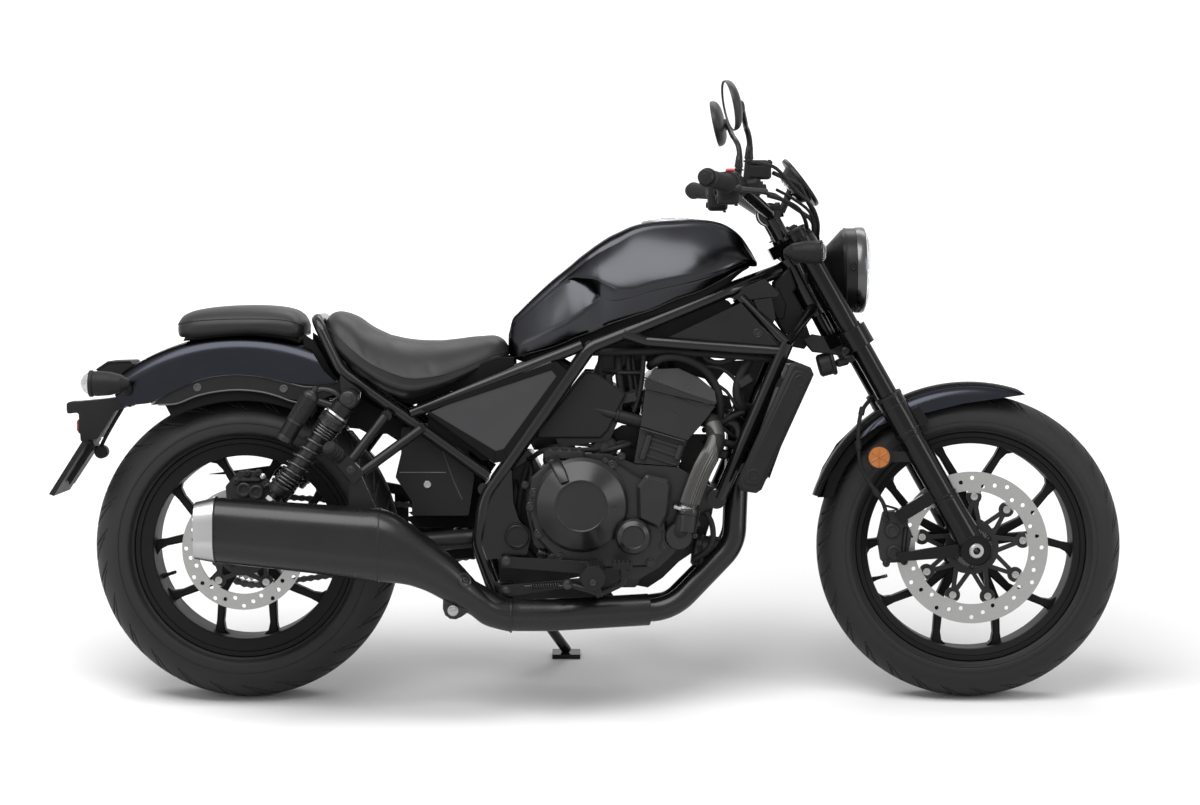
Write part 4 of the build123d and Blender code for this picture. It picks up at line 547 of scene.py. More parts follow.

# near-black filler that closes the space between the tank and the frame tubes, partly the dark
# parts there and partly painted shade of the gap, and the seam lip
gap_fill_rows = []
edge = []
for step in range(GAP_FILL_STEPS):
    x = 566 + (1052 - 566) * step / (GAP_FILL_STEPS - 1)
    ly, lz = curve_value(TANK, x, 10), curve_value(TANK, x, 11)
    deep = 30 * min(1.0, (step + 1) / 5, (GAP_FILL_STEPS - step) / 8)
    half = ((-ly + 5, lz + 6), (-ly + 4, lz - 3), (-ly + 12, lz - deep))
    gap_fill_rows.append([Vector((x, y, z)) for y, z in (*half, *((-y, z) for y, z in half[::-1]))])
    edge.append(Vector((x, ly - 1.0, lz - 0.6)))
Batch().skin(gap_fill_rows).make("tank_gap_shade_fill", "chassis", "tray_black")
Batch().tube(edge, 2.2, 8).mirror().make("tank_seam_lip", "chassis", "gloss_black")

# filler cap let in flush with the spine: flange, ring, key cover and screws
CAP = Vector((886, 0, 1003.0))
CAP_AXIS = unit((-0.045, 0, 1))
cap = Batch().lathe([(36, 3.0), (53, 2.2), (56.5, 0.4), (57, -6), (36, -6)], CAP, CAP_AXIS, 72)
cap.lathe([(0, 4.8), (10, 4.8), (33.5, 4.2), (35.2, 3.2), (35.4, 1.0), (0, 1.0)], CAP, CAP_AXIS, 56)
cap.block(CAP + CAP_AXIS * 5.6, ((1, 0, 0.045), Y, CAP_AXIS), (30, 11, 3), 1.0)
for c, s in around(6, 0.5):
    cap.bolt(CAP + Vector((45 * c, 45 * s, 2.4 + 2.0 * c)), CAP_AXIS, 3.4, 1.6)
cap.make("tank_cap", "chassis", "cap_metal", 35, ["fuel_cap"])


# ---- seats ----
CLOTH_FRAMES = 20
SEAM_AT, BASE_AT = 15, 25


def puff(piece, held, cap_mm):
    """Cloth under pressure, held along its seams, then applied with the movement capped."""
    piece.vertex_groups.new(name="held").add(held, 1.0, "REPLACE")
    rest = [v.co.copy() for v in piece.data.vertices]
    cloth = piece.modifiers.new("cloth", "CLOTH")
    for key, value in {"quality": 6, "mass": 0.25, "use_pressure": True,
                       "uniform_pressure_force": 4.0, "vertex_group_mass": "held",
                       "tension_stiffness": 18.0, "compression_stiffness": 18.0,
                       "bending_stiffness": 1.2}.items():
        setattr(cloth.settings, key, value)
    cloth.settings.effector_weights.gravity = 0.0
    cloth.point_cache.frame_start = 1
    cloth.point_cache.frame_end = CLOTH_FRAMES
    for number in range(1, CLOTH_FRAMES + 1):
        bpy.context.scene.frame_set(number)
    shown = piece.evaluated_get(bpy.context.evaluated_depsgraph_get())
    moved = [v.co.copy() for v in shown.data.vertices]
    piece.modifiers.remove(cloth)
    bpy.context.scene.frame_set(1)
    for vertex, old, new in zip(piece.data.vertices, rest, moved):
        way = new - old
        if way.length > cap_mm / 1000:
            way *= cap_mm / 1000 / way.length
        vertex.co = old + way
    piece.data.update()


def pad(name, table, cap_mm, steps, outward, wire):
    """Upholstered pad lofted from a table of sections, with piping and stitches on its seams."""
    rows = []
    for step in range(steps + 1):
        x = table[0][0] + (table[-1][0] - table[0][0]) * eased(step / steps, 0.5)
        top, seam_z, seam_y, side_y, base_z, base_y = (curve_value(table, x, c)
                                                       for c in range(1, 7))
        rise, fall = top - seam_z, seam_z - base_z
        upper = [(0, top), (seam_y * 0.3, top - rise * 0.03), (seam_y * 0.58, top - rise * 0.14),
                 (seam_y * 0.82, top - rise * 0.42), (seam_y * 0.96, top - rise * 0.80),
                 (seam_y, seam_z)]
        lower = [(seam_y, seam_z - 0.1), (side_y, seam_z - fall * 0.30),
                 (side_y, seam_z - fall * 0.62), (base_y + 4, base_z + fall * 0.08),
                 (base_y, base_z), (base_y - 14, base_z + 2), (base_y * 0.45, base_z + 3),
                 (0, base_z + 3)]
        upper, lower = (smooth_path([(a, b, 0) for a, b in part], 3) for part in (upper, lower))
        half = [Vector((x, -p.x, p.y)) for p in [*upper, *lower[1:]]]
        rows.append(half + [Vector((p.x, -p.y, p.z)) for p in reversed(half[1:-1])])
    close_ends(rows, [(0.72, 3.0), (0.35, 4.5)])
    around_ring = len(rows[0])
    batch = Batch().skin(rows)
    held = [i * around_ring + k for i in range(len(rows))
            for k in (SEAM_AT, around_ring - SEAM_AT, *range(BASE_AT, around_ring - BASE_AT + 1))]
    held += [i * around_ring + k for i in (0, len(rows) - 1) for k in range(around_ring)]
    # no welding here, so that the held vertices keep their numbers
    piece = batch.make(name + "_pad", "chassis", "vinyl", 60, [name], turn=False)
    puff(piece, held, cap_mm)
    soften = piece.modifiers.new("soften", "SUBSURF")
    soften.levels = soften.render_levels = 1
    stitch = 7.0
    cord, thread = Batch(), Batch()
    for k in (SEAM_AT, around_ring - SEAM_AT):
        line = [batch.verts[i * around_ring + k] for i in range(2, len(rows) - 2)]
        cord.tube(line, wire, 8)
        run = 0.0
        for a, b in zip(line, line[1:]):
            length = (b - a).length
            way = (b - a) / max(length, 0.001)
            while run < length:
                start = a + way * run + Vector((0, copysign(outward, -a.y), 2.6))
                thread.tube([start, start + way * stitch * 0.55], 0.7, 6)
                run += stitch
            run -= length
    cord.make(name + "_piping", "chassis", "vinyl")
    thread.make(name + "_stitches", "chassis", "thread")


RIDER_SEAT = [
    # x, top z, seam z, seam y, side y, base z, base y
    (171.0, 797.0, 780.0, 70.0, 74.0, 764.0, 64.0),
    (180.0, 809.0, 776.0, 94.0, 98.0, 742.0, 84.0),
    (200.0, 813.0, 762.0, 116.0, 119.0, 722.0, 100.0),
    (228.0, 803.0, 738.0, 132.0, 134.0, 698.0, 110.0),
    (262.0, 778.0, 712.0, 144.0, 145.0, 672.0, 114.0),
    (302.0, 760.0, 692.0, 150.0, 150.0, 646.0, 114.0),
    (350.0, 750.0, 677.0, 150.0, 149.0, 634.0, 112.0),
    (405.0, 748.0, 681.0, 138.0, 137.0, 650.0, 108.0),
    (450.0, 752.0, 694.0, 118.0, 118.0, 668.0, 98.0),
    (495.0, 759.0, 712.0, 96.0, 96.0, 690.0, 80.0),
    (522.0, 762.0, 724.0, 80.0, 81.0, 704.0, 67.0),
    (540.0, 754.0, 727.0, 64.0, 66.0, 714.0, 54.0),
    (548.0, 742.0, 729.0, 50.0, 52.0, 720.0, 44.0),
]
PASSENGER_SEAT = [
    (-136.0, 797.0, 787.0, 66.0, 70.0, 764.0, 60.0),
    (-128.0, 807.0, 789.0, 78.0, 84.0, 760.0, 74.0),
    (-100.0, 817.0, 794.0, 92.0, 97.0, 760.0, 86.0),
    (-40.0, 824.0, 798.0, 100.0, 105.0, 766.0, 94.0),
    (20.0, 826.0, 799.0, 103.0, 108.0, 769.0, 97.0),
    (70.0, 824.0, 798.0, 104.0, 108.0, 766.0, 98.0),
    (102.0, 818.0, 794.0, 101.0, 105.0, 761.0, 95.0),
    (118.0, 808.0, 788.0, 93.0, 98.0, 761.0, 88.0),
    (125.0, 797.0, 783.0, 80.0, 84.0, 763.0, 76.0),
]
pad("rider_seat", RIDER_SEAT, 5.0, 64, 2.0, 1.0)
pad("passenger_seat", PASSENGER_SEAT, 4.0, 48, 4.0, 1.5)
Batch().plate([(-118, 764), (-124, 752), (-60, 757), (20, 763), (80, 757), (118, 747), (113, 764),
               (20, 773), (-60, 769)], -86, 86, 3).make("passenger_seat_pan", "chassis",
                                                        "tray_black")


# ---- tyres ----
def groove_depth(arc, across, pitch, depth, cuts):
    """Depth of the tread's cuts at a distance round the tyre and across its crown."""
    deepest = 0.0
    for start, stop, lead, curl, width, phase in cuts:
        t = (abs(across) - start) / (stop - start)
        if abs(across) < start - 2 or abs(across) > stop + 2:
            continue
        shift = lead * t + curl * t * t + phase * pitch + (0.5 * pitch if across >= 0 else 0.0)
        local = (arc - shift) % pitch
        half = width * (1.0 - 0.55 * max(0.0, t) ** 2) * 0.5
        fade = step_up(-0.02, 0.05, t) * (1 - step_up(0.93, 1.02, t))
        cut = 1 - step_up(half - 0.7, half + 0.7, min(local, pitch - local))
        deepest = max(deepest, cut * fade)
    return deepest * depth


TYRE_STEPS = 900


def tyre(end, hub, crown, half, bead, flange, rim_half, edge, crown_steps, knobs, depth, ribs,
         cuts):
    """Tyre with a round crown, cut tread, a moulded side wall and open beads."""
    centre = TYRE - crown
    pitch = 2 * pi * TYRE / knobs
    angles = [radians(edge) * (2 * k / crown_steps - 1) for k in range(crown_steps + 1)]
    profile = [(centre + crown * cos(a), crown * sin(a), crown * a) for a in angles]
    shoulder = profile[-1]
    mid = (bead + shoulder[0]) / 2 - 2
    wall = [(shoulder[0], shoulder[1], 0), ((shoulder[0] + mid) / 2 + 3, half - 2.4, 0),
            (mid, half, 0), ((mid + flange) / 2 + 2, half - 3.2, 0),
            (flange + 7, rim_half + 9.5, 0), (flange + 2.2, rim_half + 5.2, 0)]
    down = [(p.x, p.y, None) for p in smooth_path(wall, 5)[1:]]
    inside = [(flange + 2.2, rim_half - 6, None), (bead + 2, rim_half - 18, None),
              (bead + 16, rim_half - 20, None)]
    back = [(r, -w, None) for r, w, _ in reversed([*down, *inside])]
    ring = [*profile, *down, *inside, (TYRE - 22, 0, None), *back]
    rows = []
    for i, (c, s) in enumerate(around(TYRE_STEPS)):
        row = []
        for r, w, across in ring:
            if across is not None:
                sink = groove_depth(TYRE * 2 * pi * i / TYRE_STEPS, across, pitch, depth, cuts)
                r -= sink * cos(across / crown)
                w -= sink * sin(across / crown)
            row.append(hub + Vector((r * s, w, r * c)))
        rows.append(row)
    Batch().skin(rows, round_rows=True).make("tyre_" + end, end + "_wheel", "tyre", 45,
                                             [end + "_tyre"], weld=False)
    rings = Batch()
    for radius, side in product(ribs, SIDES):
        out = half + 0.2 if (radius - flange) / (shoulder[0] - flange) > 0.35 else half - 1.4
        rings.lathe([(radius - 0.8, -0.9), (radius - 0.5, 0.5), (radius + 0.5, 0.5),
                     (radius + 0.8, -0.9)], hub + Y * side * out, Y * side, 200)
    rings.make("tyre_" + end + "_rings", end + "_wheel", "tyre")


# cuts: start and stop across the crown, lead and curl round the tyre, width, phase
tyre("rear", REAR_HUB, 100.0, 89.0, 215.0, 228.0, 68.0, 50.0, 76, 26, 4.2, (243.0, 262.0),
     [(7.0, 79.0, 18.0, 52.0, 5.0, 0.0), (30.0, 84.0, 12.0, 34.0, 4.2, 0.52)])
tyre("front", FRONT_HUB, 70.0, 65.0, 228.0, 240.0, 48.0, 52.0, 56, 30, 3.6, (252.0, 264.0),
     [(4.0, 56.0, 16.0, 40.0, 4.2, 0.0), (20.0, 60.0, 10.0, 26.0, 3.6, 0.5)])


# ---- wheel, hub and brake fastenings ----
def wheel_trim(wheel, hub, right_y, left_y, disc_y, screws, bobbins, circle_r, rim_r):
    steel, black, valve = Batch(), Batch(), Batch()
    for k in range(screws):
        black.bolt(hub + Y * (disc_y - 3.4) + swung(90 + 360 / screws * k) * 40, -Y, 6.2, 5.0)
    for k in range(bobbins):
        p = hub + Y * (disc_y - 5.5) + swung(88 - 360 / bobbins * k) * circle_r
        steel.lathe([(0, 0.9), (2.4, 0.9), (2.8, 1.8), (7.6, 1.5), (8.1, 0.0), (0, -0.5)], p, -Y,
                    24)
        steel.lathe([(0, 0.9), (7.6, 0.9), (8.1, 0.0), (0, -0.5)], p + Y * 11, Y, 20)
    for y, side in ((right_y, -1), (left_y, 1)):
        black.lathe([(13, 0.6), (20, 1.4), (27, 0.9), (28, -1.0), (13, -1.0)], hub + Y * y,
                    Y * side, 48)
    # valve stem inside the rim
    out = swung(200)
    seat = hub + out * (rim_r - 2)
    valve.tube([seat + out * 4 - Y * 6, seat - out * 8 - Y * 10, seat - out * 20 - Y * 20],
               [6.5, 4.2, 3.0], 14)
    steel.tube([seat - out * 20 - Y * 20, seat - out * 29 - Y * 27], [4.0, 3.6], 14)
    valve.make(wheel + "_valve", wheel, "rubber")
    steel.make(wheel + "_bobbins", wheel, "stainless")
    black.make(wheel + "_screws", wheel, "satin_black")


wheel_trim("front_wheel", FRONT_HUB, -57, 42, -66.0, 6, 9, 107.0, 216.0)
wheel_trim("rear_wheel", REAR_HUB, -76, 62, -85.0, 5, 5, 84.0, 192.0)

# toothed speed ring inside the front disc
RING_TEETH = 48
rim, core = [42.0, 42.0, 37.5, 37.5] * RING_TEETH, [30.0] * 4 * RING_TEETH
rings = [[FRONT_HUB + Vector((c * r, y, s * r)) for (c, s), r in zip(around(len(rim)), radii)]
         for y, radii in ((-73.6, rim), (-71.4, rim), (-71.4, core), (-73.6, core))]
Batch().skin(rings, True).make("wheel_sensor_ring", "front_wheel", "chain_steel", 25)

# axle ends
ends, rear_ends = Batch(), Batch()
ends.lathe([(7.6, 6.0), (12.6, 6.0), (13.8, 4.8), (13.8, 0), (7.6, 0)], FRONT_HUB - Y * 142, -Y)
ends.lathe([(7.6, 3.0), (11.0, 3.0), (12.0, 2.0), (12.0, 0), (7.6, 0)], FRONT_HUB + Y * 138, Y)
ends.make("front_axle_ends", "steering", "steel")
rear_ends.lathe([(7.2, 4.0), (15.0, 4.0), (17.0, 2.6), (17.0, 0), (7.2, 0)], REAR_HUB - Y * 156,
                -Y, 6)
rear_ends.lathe([(12.5, 1.5), (22.0, 1.5), (23.0, 0.8), (23.0, -1), (12.5, -1)],
                REAR_HUB - Y * 146.2, -Y)
rear_ends.mirror().make("rear_axle_ends", "chassis", "steel")

# ---- headlamp ----
LAMP = Vector((1291.0, 0.0, 900.0))
POD = 20.0
bowl, eyes, drum = Batch(), Batch(), Batch()
Batch().lathe([(88.4, -14), (89.6, -13), (90.2, -8), (90.2, 3), (88, 6.4), (83.0, 7.4),
               (80.6, 6.0), (80.2, 2.0), (82, 1.0), (82, -1.0)], LAMP, X, 96).make(
    "headlamp_ring", "steering", "ring_grey")
bowl.lathe([(80, 4), (78, -1), (70, -5), (52, -9), (20, -11), (0.01, -11.5), (0.01, -14), (52, -12),
            (80, -4)], LAMP, X, 96)
bowl.block(LAMP - X * 3, SQUARE, (12, 150, 7), 1.5)
for z, y in product((34, -34), (-36, 36)):
    bowl.lathe([(POD + 5, 2), (POD + 4, 10), (POD + 0.5, 11), (POD, 6), (POD, 0)],
               LAMP + Vector((-10, y, z)), X, 48)
    eyes.lathe([(POD, 0), (POD, 1.5), (POD * 0.8, 6.0), (POD * 0.45, 9.0), (0.01, 10.0), (0.01, 0)],
               LAMP + Vector((-4, y, z)), X, 40)
bowl.make("headlamp_bowl", "steering", "lamp_bowl")
eyes.make("headlamp_eyes", "steering", "lens")
Batch().lathe([(81, 5), (80, 9), (72, 14.5), (56, 20), (34, 23.6), (0.01, 25), (0.01, 22.4),
               (34, 21), (55, 17.4), (71, 12), (78, 7), (79, 5)], LAMP, X, 96).make(
    "headlamp_glass", "steering", "lens", hides=["headlamp_lens"])
for side in SIDES:
    drum.bolt((1268, side * 87.6, 905), Y * side, 6.5, 3.5)
    drum.lathe([(11, 0.8), (11, -1), (8.0, -1), (8.0, 0.8)], (1268, side * 88.2, 905), Y * side, 28)
drum.lathe([(88.0, 0.0), (88.9, 1.0), (88.9, 3.2), (88.0, 4.2), (85, 2)], (1254, 0, 900), X, 96)
drum.lathe([(22, 2), (24, 0), (24, -16), (18, -20), (0.01, -20), (0.01, 2)], (1206, 0, 900), X)
drum.hose([(1188, 8, 900), (1176, 14, 888), (1172, 16, 860), (1180, 10, 832)], 8.5, 6, 14)
drum.hose([(1190, -10, 905), (1178, -18, 900), (1174, -22, 880), (1186, -18, 846)], 5.5, 6, 12)
drum.make("headlamp_trim", "steering", "satin_black")

# ---- indicators: rim, dish, bulb and lens in the open end of each lamp body ----
INDICATOR = {
    # profiles as shares of the radius, and millimetres along
    "rim": ([(0.99, -4), (1.03, -2.6), (1.03, 0.6), (0.9, 1.2), (0.86, -1)], 48, "satin_black"),
    "dish": ([(0.88, 1.0), (0.6, 0.4), (0.3, 0.2), (0, 0.1), (0, 0.05), (0.9, 0.05)], 40,
             "lamp_bowl"),
    "bulb": ([(0, 5.2), (3.0, 4.6), (5.0, 2.6), (5.0, 0.3), (0, 0.3)], 20, "amber"),
    "lens": ([(0.9, 0.8), (0.86, 4.0), (0.66, 7.4), (0.36, 9.2), (0, 9.8), (0, 8.6), (0.36, 8.0),
              (0.62, 6.3), (0.8, 3.0), (0.84, 0.8)], 48, "lens"),
}
for side, tag in ((-1, "right"), (1, "left")):
    for name, body, end, axis, radius in (
            ("front", "steering", Vector((1196, side * 176, 936)), X, 24),
            ("rear", "chassis", Vector((-308, side * 141, 666)), -X, 26)):
        for part, (profile, segments, material) in INDICATOR.items():
            size = 1 if part == "bulb" else radius
            Batch().lathe([(max(r * size, 0.01), along) for r, along in profile], end, axis,
                          segments).make("%s_indicator_%s_%s" % (name, tag, part), body, material)

# amber side reflectors with their pressed star
star, frames = Batch(), Batch()
for side in SIDES:
    centre = Vector((1320, side * 124, 513))
    star.lathe([(0.01, 1.2), (20, 1.2), (22.4, 0.6), (22.6, -1), (0.01, -1)], centre, Y * side, 48)
    for k in range(3):
        way = swung(30 + 60 * k)
        star.block(centre + Y * side * 1.5, (way, Y, way.cross(Y)), (40, 1.6, 2.2), 0.4)
    frames.lathe([(22.6, 2.2), (25.2, 1.6), (25.6, -6), (22.6, -6)], centre, Y * side, 48)
star.make("side_reflector_lenses", "steering", "amber")
frames.make("side_reflector_frames", "steering", "plastic")

# ---- grips, levers, switches ----
BEND = Vector((1028.0, 200.0, 1068.0))
END = Vector((951.0, 412.0, 1080.0))


def along_bar(share, side):
    p = BEND + (END - BEND) * share
    return Vector((p.x, side * p.y, p.z))


grip, weights, detail, switch = Batch(), Batch(), Batch(), Batch()
for side in SIDES:
    start, stop = along_bar(0.405, side), along_bar(0.985, side)
    way, length = stop - start, (stop - start).length
    profile = [(12.9, 0), (19.6, 0), (21.2, 1.2), (21.2, 3.6), (19.4, 5.0), (17.2, 8)]
    rib = 12.0
    while rib < length - 16:
        profile += [(17.3, rib), (16.5, rib + 0.8), (16.5, rib + 2.4), (17.3, rib + 3.2)]
        rib += 5.0
    grip.lathe([*profile, (17.6, length - 10), (19.0, length - 7), (19.2, length - 2),
                (18.4, length), (12.9, length)], start, way, 36)
    weights.lathe([(0.01, 16), (6, 16), (6.5, 15), (13.4, 14.4), (15.6, 12), (15.6, 1), (14.8, 0.2),
                   (0.01, 0.2)], stop, way, 36)
    # perch clamp with two screws, lever pivot screw, adjuster, mirror stem nut and boot
    p = along_bar(0.05, side)
    for lift in (-9, 9):
        detail.bolt(p + Vector((-21, 0, lift)) + unit(way) * 4, -X, 4.2, 3.5)
    detail.bolt(p + Vector((38, side * 8, 10)), Z, 6.2, 4.0)
    detail.bolt(p + Vector((38, side * 8, -16)), -Z, 5.4, 4.0, socket=False)
    detail.lathe([(0.01, 7), (6.5, 7), (7.4, 6), (7.4, 0), (0.01, 0)],
                 p + Vector((48, side * 2, -3)), (1, -0.2 * side, 0.1), 24)
    detail.bolt(p + Vector((20, 0, 50)), (0.08, 0, 1), 9.0, 9.0, socket=False)
    detail.lathe([(5.6, 26), (7.2, 24), (8.2, 12), (9.6, 0), (5.6, 0)], p + Vector((20.2, 0, 56)),
                 (0.06, 0, 1), 24)
    # switch block: seam, rockers and buttons on its rider's face
    s = along_bar(0.28, side)
    switch.block(s + Vector((-27.6, 0, 9)), (Y, Z, X), (15, 13, 4.5), 1.6)
    switch.block(s + Vector((-27.6, 0, -10)), (Y, Z, X), (17, 10, 5.5), 2.0)
    switch.lathe([(0.01, 4.4), (5.4, 4.0), (6.4, 2.6), (6.4, 0), (0.01, 0)],
                 s + Vector((-27.5, 0, -28)), -X, 24)
    detail.tube([s + Vector((-28.2, 21, -8)), s + Vector((-28.2, -21, -8))], 0.7, 6)
    for lift, axis in ((-41, -Z), (17, Z)):
        detail.bolt(s + Vector((10, side * 10, lift)), axis, 3.6, 3.0)
grip.make("grips_ribbed", "steering", "grip_rubber", 50, ["grips"])
weights.make("bar_end_weights", "steering", "satin_black")
detail.make("bar_fittings", "steering", "satin_black")
switch.make("bar_switches", "steering", "plastic")
Batch().block(along_bar(0.22, -1) + Vector((-6, 0, 29.5)), (Y, X, Z), (15, 19, 8), 2.6).make(
    "stop_switch", "steering", "red_plastic")

# fluid reservoir: lid screws, sight glass
p = along_bar(0.05, -1)
lid = Batch()
for x, y in product((22, 62), (-3, 31)):
    lid.bolt(p + Vector((x, y, 52)), Z, 3.4, 2.0)
lid.block(p + Vector((42, 14, 52.6)), SQUARE, (30, 24, 2.6), 1.0)
lid.bolt(p + Vector((30, -1, -2)), -Y, 6.0, 4.0, socket=False)
lid.make("reservoir_lid_fittings", "steering", "satin_black")
Batch().lathe([(0.01, 1.6), (5.0, 1.4), (6.2, 0.6), (6.2, -0.5), (0.01, -0.5)],
              p + Vector((16.8, 14, 26)), -X, 24).make("reservoir_window", "steering", "lens")

# ---- mirrors ----
SHELL = [(0.955, 0.95, -0.5), (0.965, 0.96, -3.2), (0.99, 0.99, -3.6), (1.0, 1.0, -2.0),
         (1.0, 1.0, 1.5), (0.985, 0.98, 6.0), (0.93, 0.92, 10.5), (0.84, 0.82, 13.8),
         (0.70, 0.68, 16.6), (0.5, 0.48, 18.4), (0.28, 0.27, 19.3), (0.05, 0.05, 19.6)]
GLASS = [(0.955, 0.95, -1.2), (0.7, 0.7, -2.0), (0.35, 0.35, -2.3), (0.02, 0.02, -2.4)]
shell, glass, stalks = Batch(), Batch(), Batch()
for side in SIDES:
    centre = Vector((1000.0, side * 330.0, 1225.0))
    d = unit((0.97, -0.12 * side, 0.2))
    across = unit(Y - d * d.y)
    upward = d.cross(across)
    upward *= copysign(1, upward.z)
    for batch, ovals in ((shell, SHELL), (glass, GLASS)):
        batch.skin([circle(centre + d * depth, across * 60 * a, upward * 51 * b, 56)
                    for a, b, depth in ovals])
    socket = centre + d * 17 - upward * 6
    shell.lathe([(0.01, 12), (9, 11), (12.5, 7), (13.5, 0), (13.5, -4), (0.01, -4)], socket, d, 32)
    q = along_bar(0.05, side)
    stalks.tube(smooth_path([q + Vector((20.5, 0, 60)), q + Vector((22, 0, 84)),
                             q + Vector((19, side * 8, 104)), q + Vector((13, side * 28, 118)),
                             q + Vector((9, side * 60, 128)),
                             socket + d * 8 + Vector((0, -side * 16, -4)), socket + d * 6], 7),
                [6.4] * 8 + [6.0] * 12 + [5.6] * 23, 14)
shell.make("mirror_shells", "steering", "mirror_shell", 50, ["mirrors"])
glass.make("mirror_faces", "steering", "mirror", 50, ["mirror_glass"])
stalks.make("mirror_stalks", "steering", "satin_black", 50)

# ---- instrument ----
middle = Vector((1167, 0, 1086))
normal = Vector((0.8, 0, 0.6))
down_face = unit((72, 0, -96))
back = middle - normal * 30.5
Batch().skin([circle(middle + normal * depth, Y * a, down_face * b, 72) for a, b, depth in
              ((65.5, 58.5, -8.5), (66.6, 59.6, -6.0), (66.6, 59.6, -1.0), (64.0, 57.0, 1.2),
               (58, 51, 0.6), (30, 27, 1.0), (0.5, 0.5, 1.2))]).make(
    "instrument_visor", "steering", "satin_black", 50)
Batch().lathe([(34.5, 0.5), (33.5, -2.4), (31, -3.0), (0.01, -3.0), (0.01, 0.5)], back, normal,
              64).make("instrument_face", "steering", "dial_glass")
needle = Batch()
u, v = side_axes(normal)
for k in range(11):
    way = u * cos(radians(26 * k - 40)) + v * sin(radians(26 * k - 40))
    needle.block(back - normal * 3.3 + way * 26, (way, normal, way.cross(normal)),
                 (4.5, 0.7, 1.1), 0.2)
needle.make("instrument_marks", "steering", "pale_mark")

# ---- bar clamps, fork and yokes ----
clamps = Batch()
for y in (-42, 42):
    for dx, dy in product((-17, 17), (7, -7)):
        clamps.bolt((1096 + dx, y + dy, 1036), Z, 5.2, 5.0)
    clamps.block((1096, y, 1030), SQUARE, (50, 26, 14), 3.0)
clamps.make("bar_clamps", "steering", "satin_black")
FORK_UP, FORK_FORE = swung(90 + 29.5), swung(29.5)


def fork_point(z):
    return Vector((1520.0 - tan(radians(29.5)) * (z - 320.0), -105.0, z))


fork, fork_caps = Batch(), Batch()
top = fork_point(981)
fork_caps.lathe([(0.01, 10), (8, 10), (9, 9), (9, 6), (14, 5), (21, 4), (23, 2), (23, -3),
                 (0.01, -3)], top, FORK_UP, 40)
fork_caps.bolt(top + FORK_UP * 9.5, FORK_UP, 6.0, 3.5, socket=False)
for z, reach, lift in ((934, 29, 0), (740, 30, -9), (740, 30, 9)):
    c = fork_point(z) + FORK_UP * lift - FORK_FORE * reach
    fork.block(c, (FORK_FORE, FORK_UP, Y), (16, 17, 34), 3.0)
    fork.bolt(c - Y * 17, -Y, 6.0, 5.0)
# dust seal lips, clip and seams down the leg, then the axle lug's rim and pinch bolts
for z, r, width in ((637, 29.2, 7.0), (618, 28.9, 2.0), (566, 28.9, 3.0), (556, 27.6, 1.6),
                    (432, 28.0, 2.4), (424, 28.3, 1.6)):
    fork.lathe([(r - 1.6, -width / 2 - 1), (r, -width / 2), (r, width / 2),
                (r - 1.6, width / 2 + 1)], fork_point(z), FORK_UP, 48)
fork.lathe([(31.0, 0), (31.8, -1.2), (31.8, -4), (31.0, -5)], (1520, -135, 320.37), Y, 48)
fork.bolt((1541, -116, 296), (0.25, 0, -1), 6.0, 5.0)
fork.bolt((1527, -116, 292), (0.1, 0, -1), 6.0, 5.0)
fork_caps.mirror().make("fork_top_caps", "steering", "satin_black")
fork.mirror().make("fork_trim", "steering", "satin_black")
Batch().bolt((1630 - tan(radians(28)) * 966, 0, 966), swung(90 + 28), 16.0, 10.0,
             socket=False).make("steering_stem_nut", "steering", "steel")

# ---- engine trim ----
bolts, lugs = Batch(), Batch()
# screws round the clutch side cover: x, z, size
for x, z, size in ((607, 440, 6.5), (600, 412, 6), (616, 356, 6), (660, 308, 6), (738, 293, 6.5),
                   (800, 291, 6), (846, 296, 6), (875, 333, 6.5), (768, 498, 6), (645, 500, 6)):
    lugs.cap([(size + 4.5, -3), (size + 4.5, 2.2), (size + 3.2, 3.4), (0, 3.4)], (x, -150, z), -Y,
             20)
    bolts.bolt((x, -153, z), -Y, size, 5.5)
for c, s in around(9, 0.3):
    x, z = 806 + 90 * c, 395 + 90 * s
    lugs.cap([(9.5, -8), (9.5, 12), (8, 13.5), (0, 13.5)], (x, 150, z), Y, 20)
    bolts.bolt((x, 163, z), Y, 6, 5.5)
for x, z in ((618, 452), (612, 380), (636, 322), (690, 306)):
    bolts.bolt((x, 133.5, z), Y, 6, 5.5)
# lugs that stand out past the edge of the clutch cover
for px, py, reach in ((525, 485, 7.5), (621.5, 456.5, 8), (605.5, 461, 7)):
    spot = at(px, py, -146)
    lugs.cap([(reach, -2), (reach + 1, 12), (reach, 14), (0, 14)], spot + Y * 12, -Y, 20)
    bolts.bolt(spot - Y, -Y, reach - 2, 5)

# oil filler neck lying over the top of the clutch cover, and its cap
filler = Batch()
rows = []
for px, py, y, wide, thick in ((552, 456, -128, 12, 12), (556, 464, -158, 12.5, 10),
                               (560, 472, -176, 12.5, 8), (564.5, 482, -186, 10, 5)):
    rows.append([at(px, py, y) + Vector((0.94 * wide * copysign(abs(c) ** 0.6, c),
                                         -thick * copysign(abs(s) ** 0.6, s),
                                         0.3 * wide * copysign(abs(c) ** 0.6, c)))
                 for c, s in around(20)])
filler.skin(rows).cap([(17, -10), (18, -6), (18, 4), (15, 8), (0, 8)], at(551.5, 458, -120),
                      (0.1, -0.55, 0.8), 18)
filler.make("oil_filler", "chassis", "engine_grey")

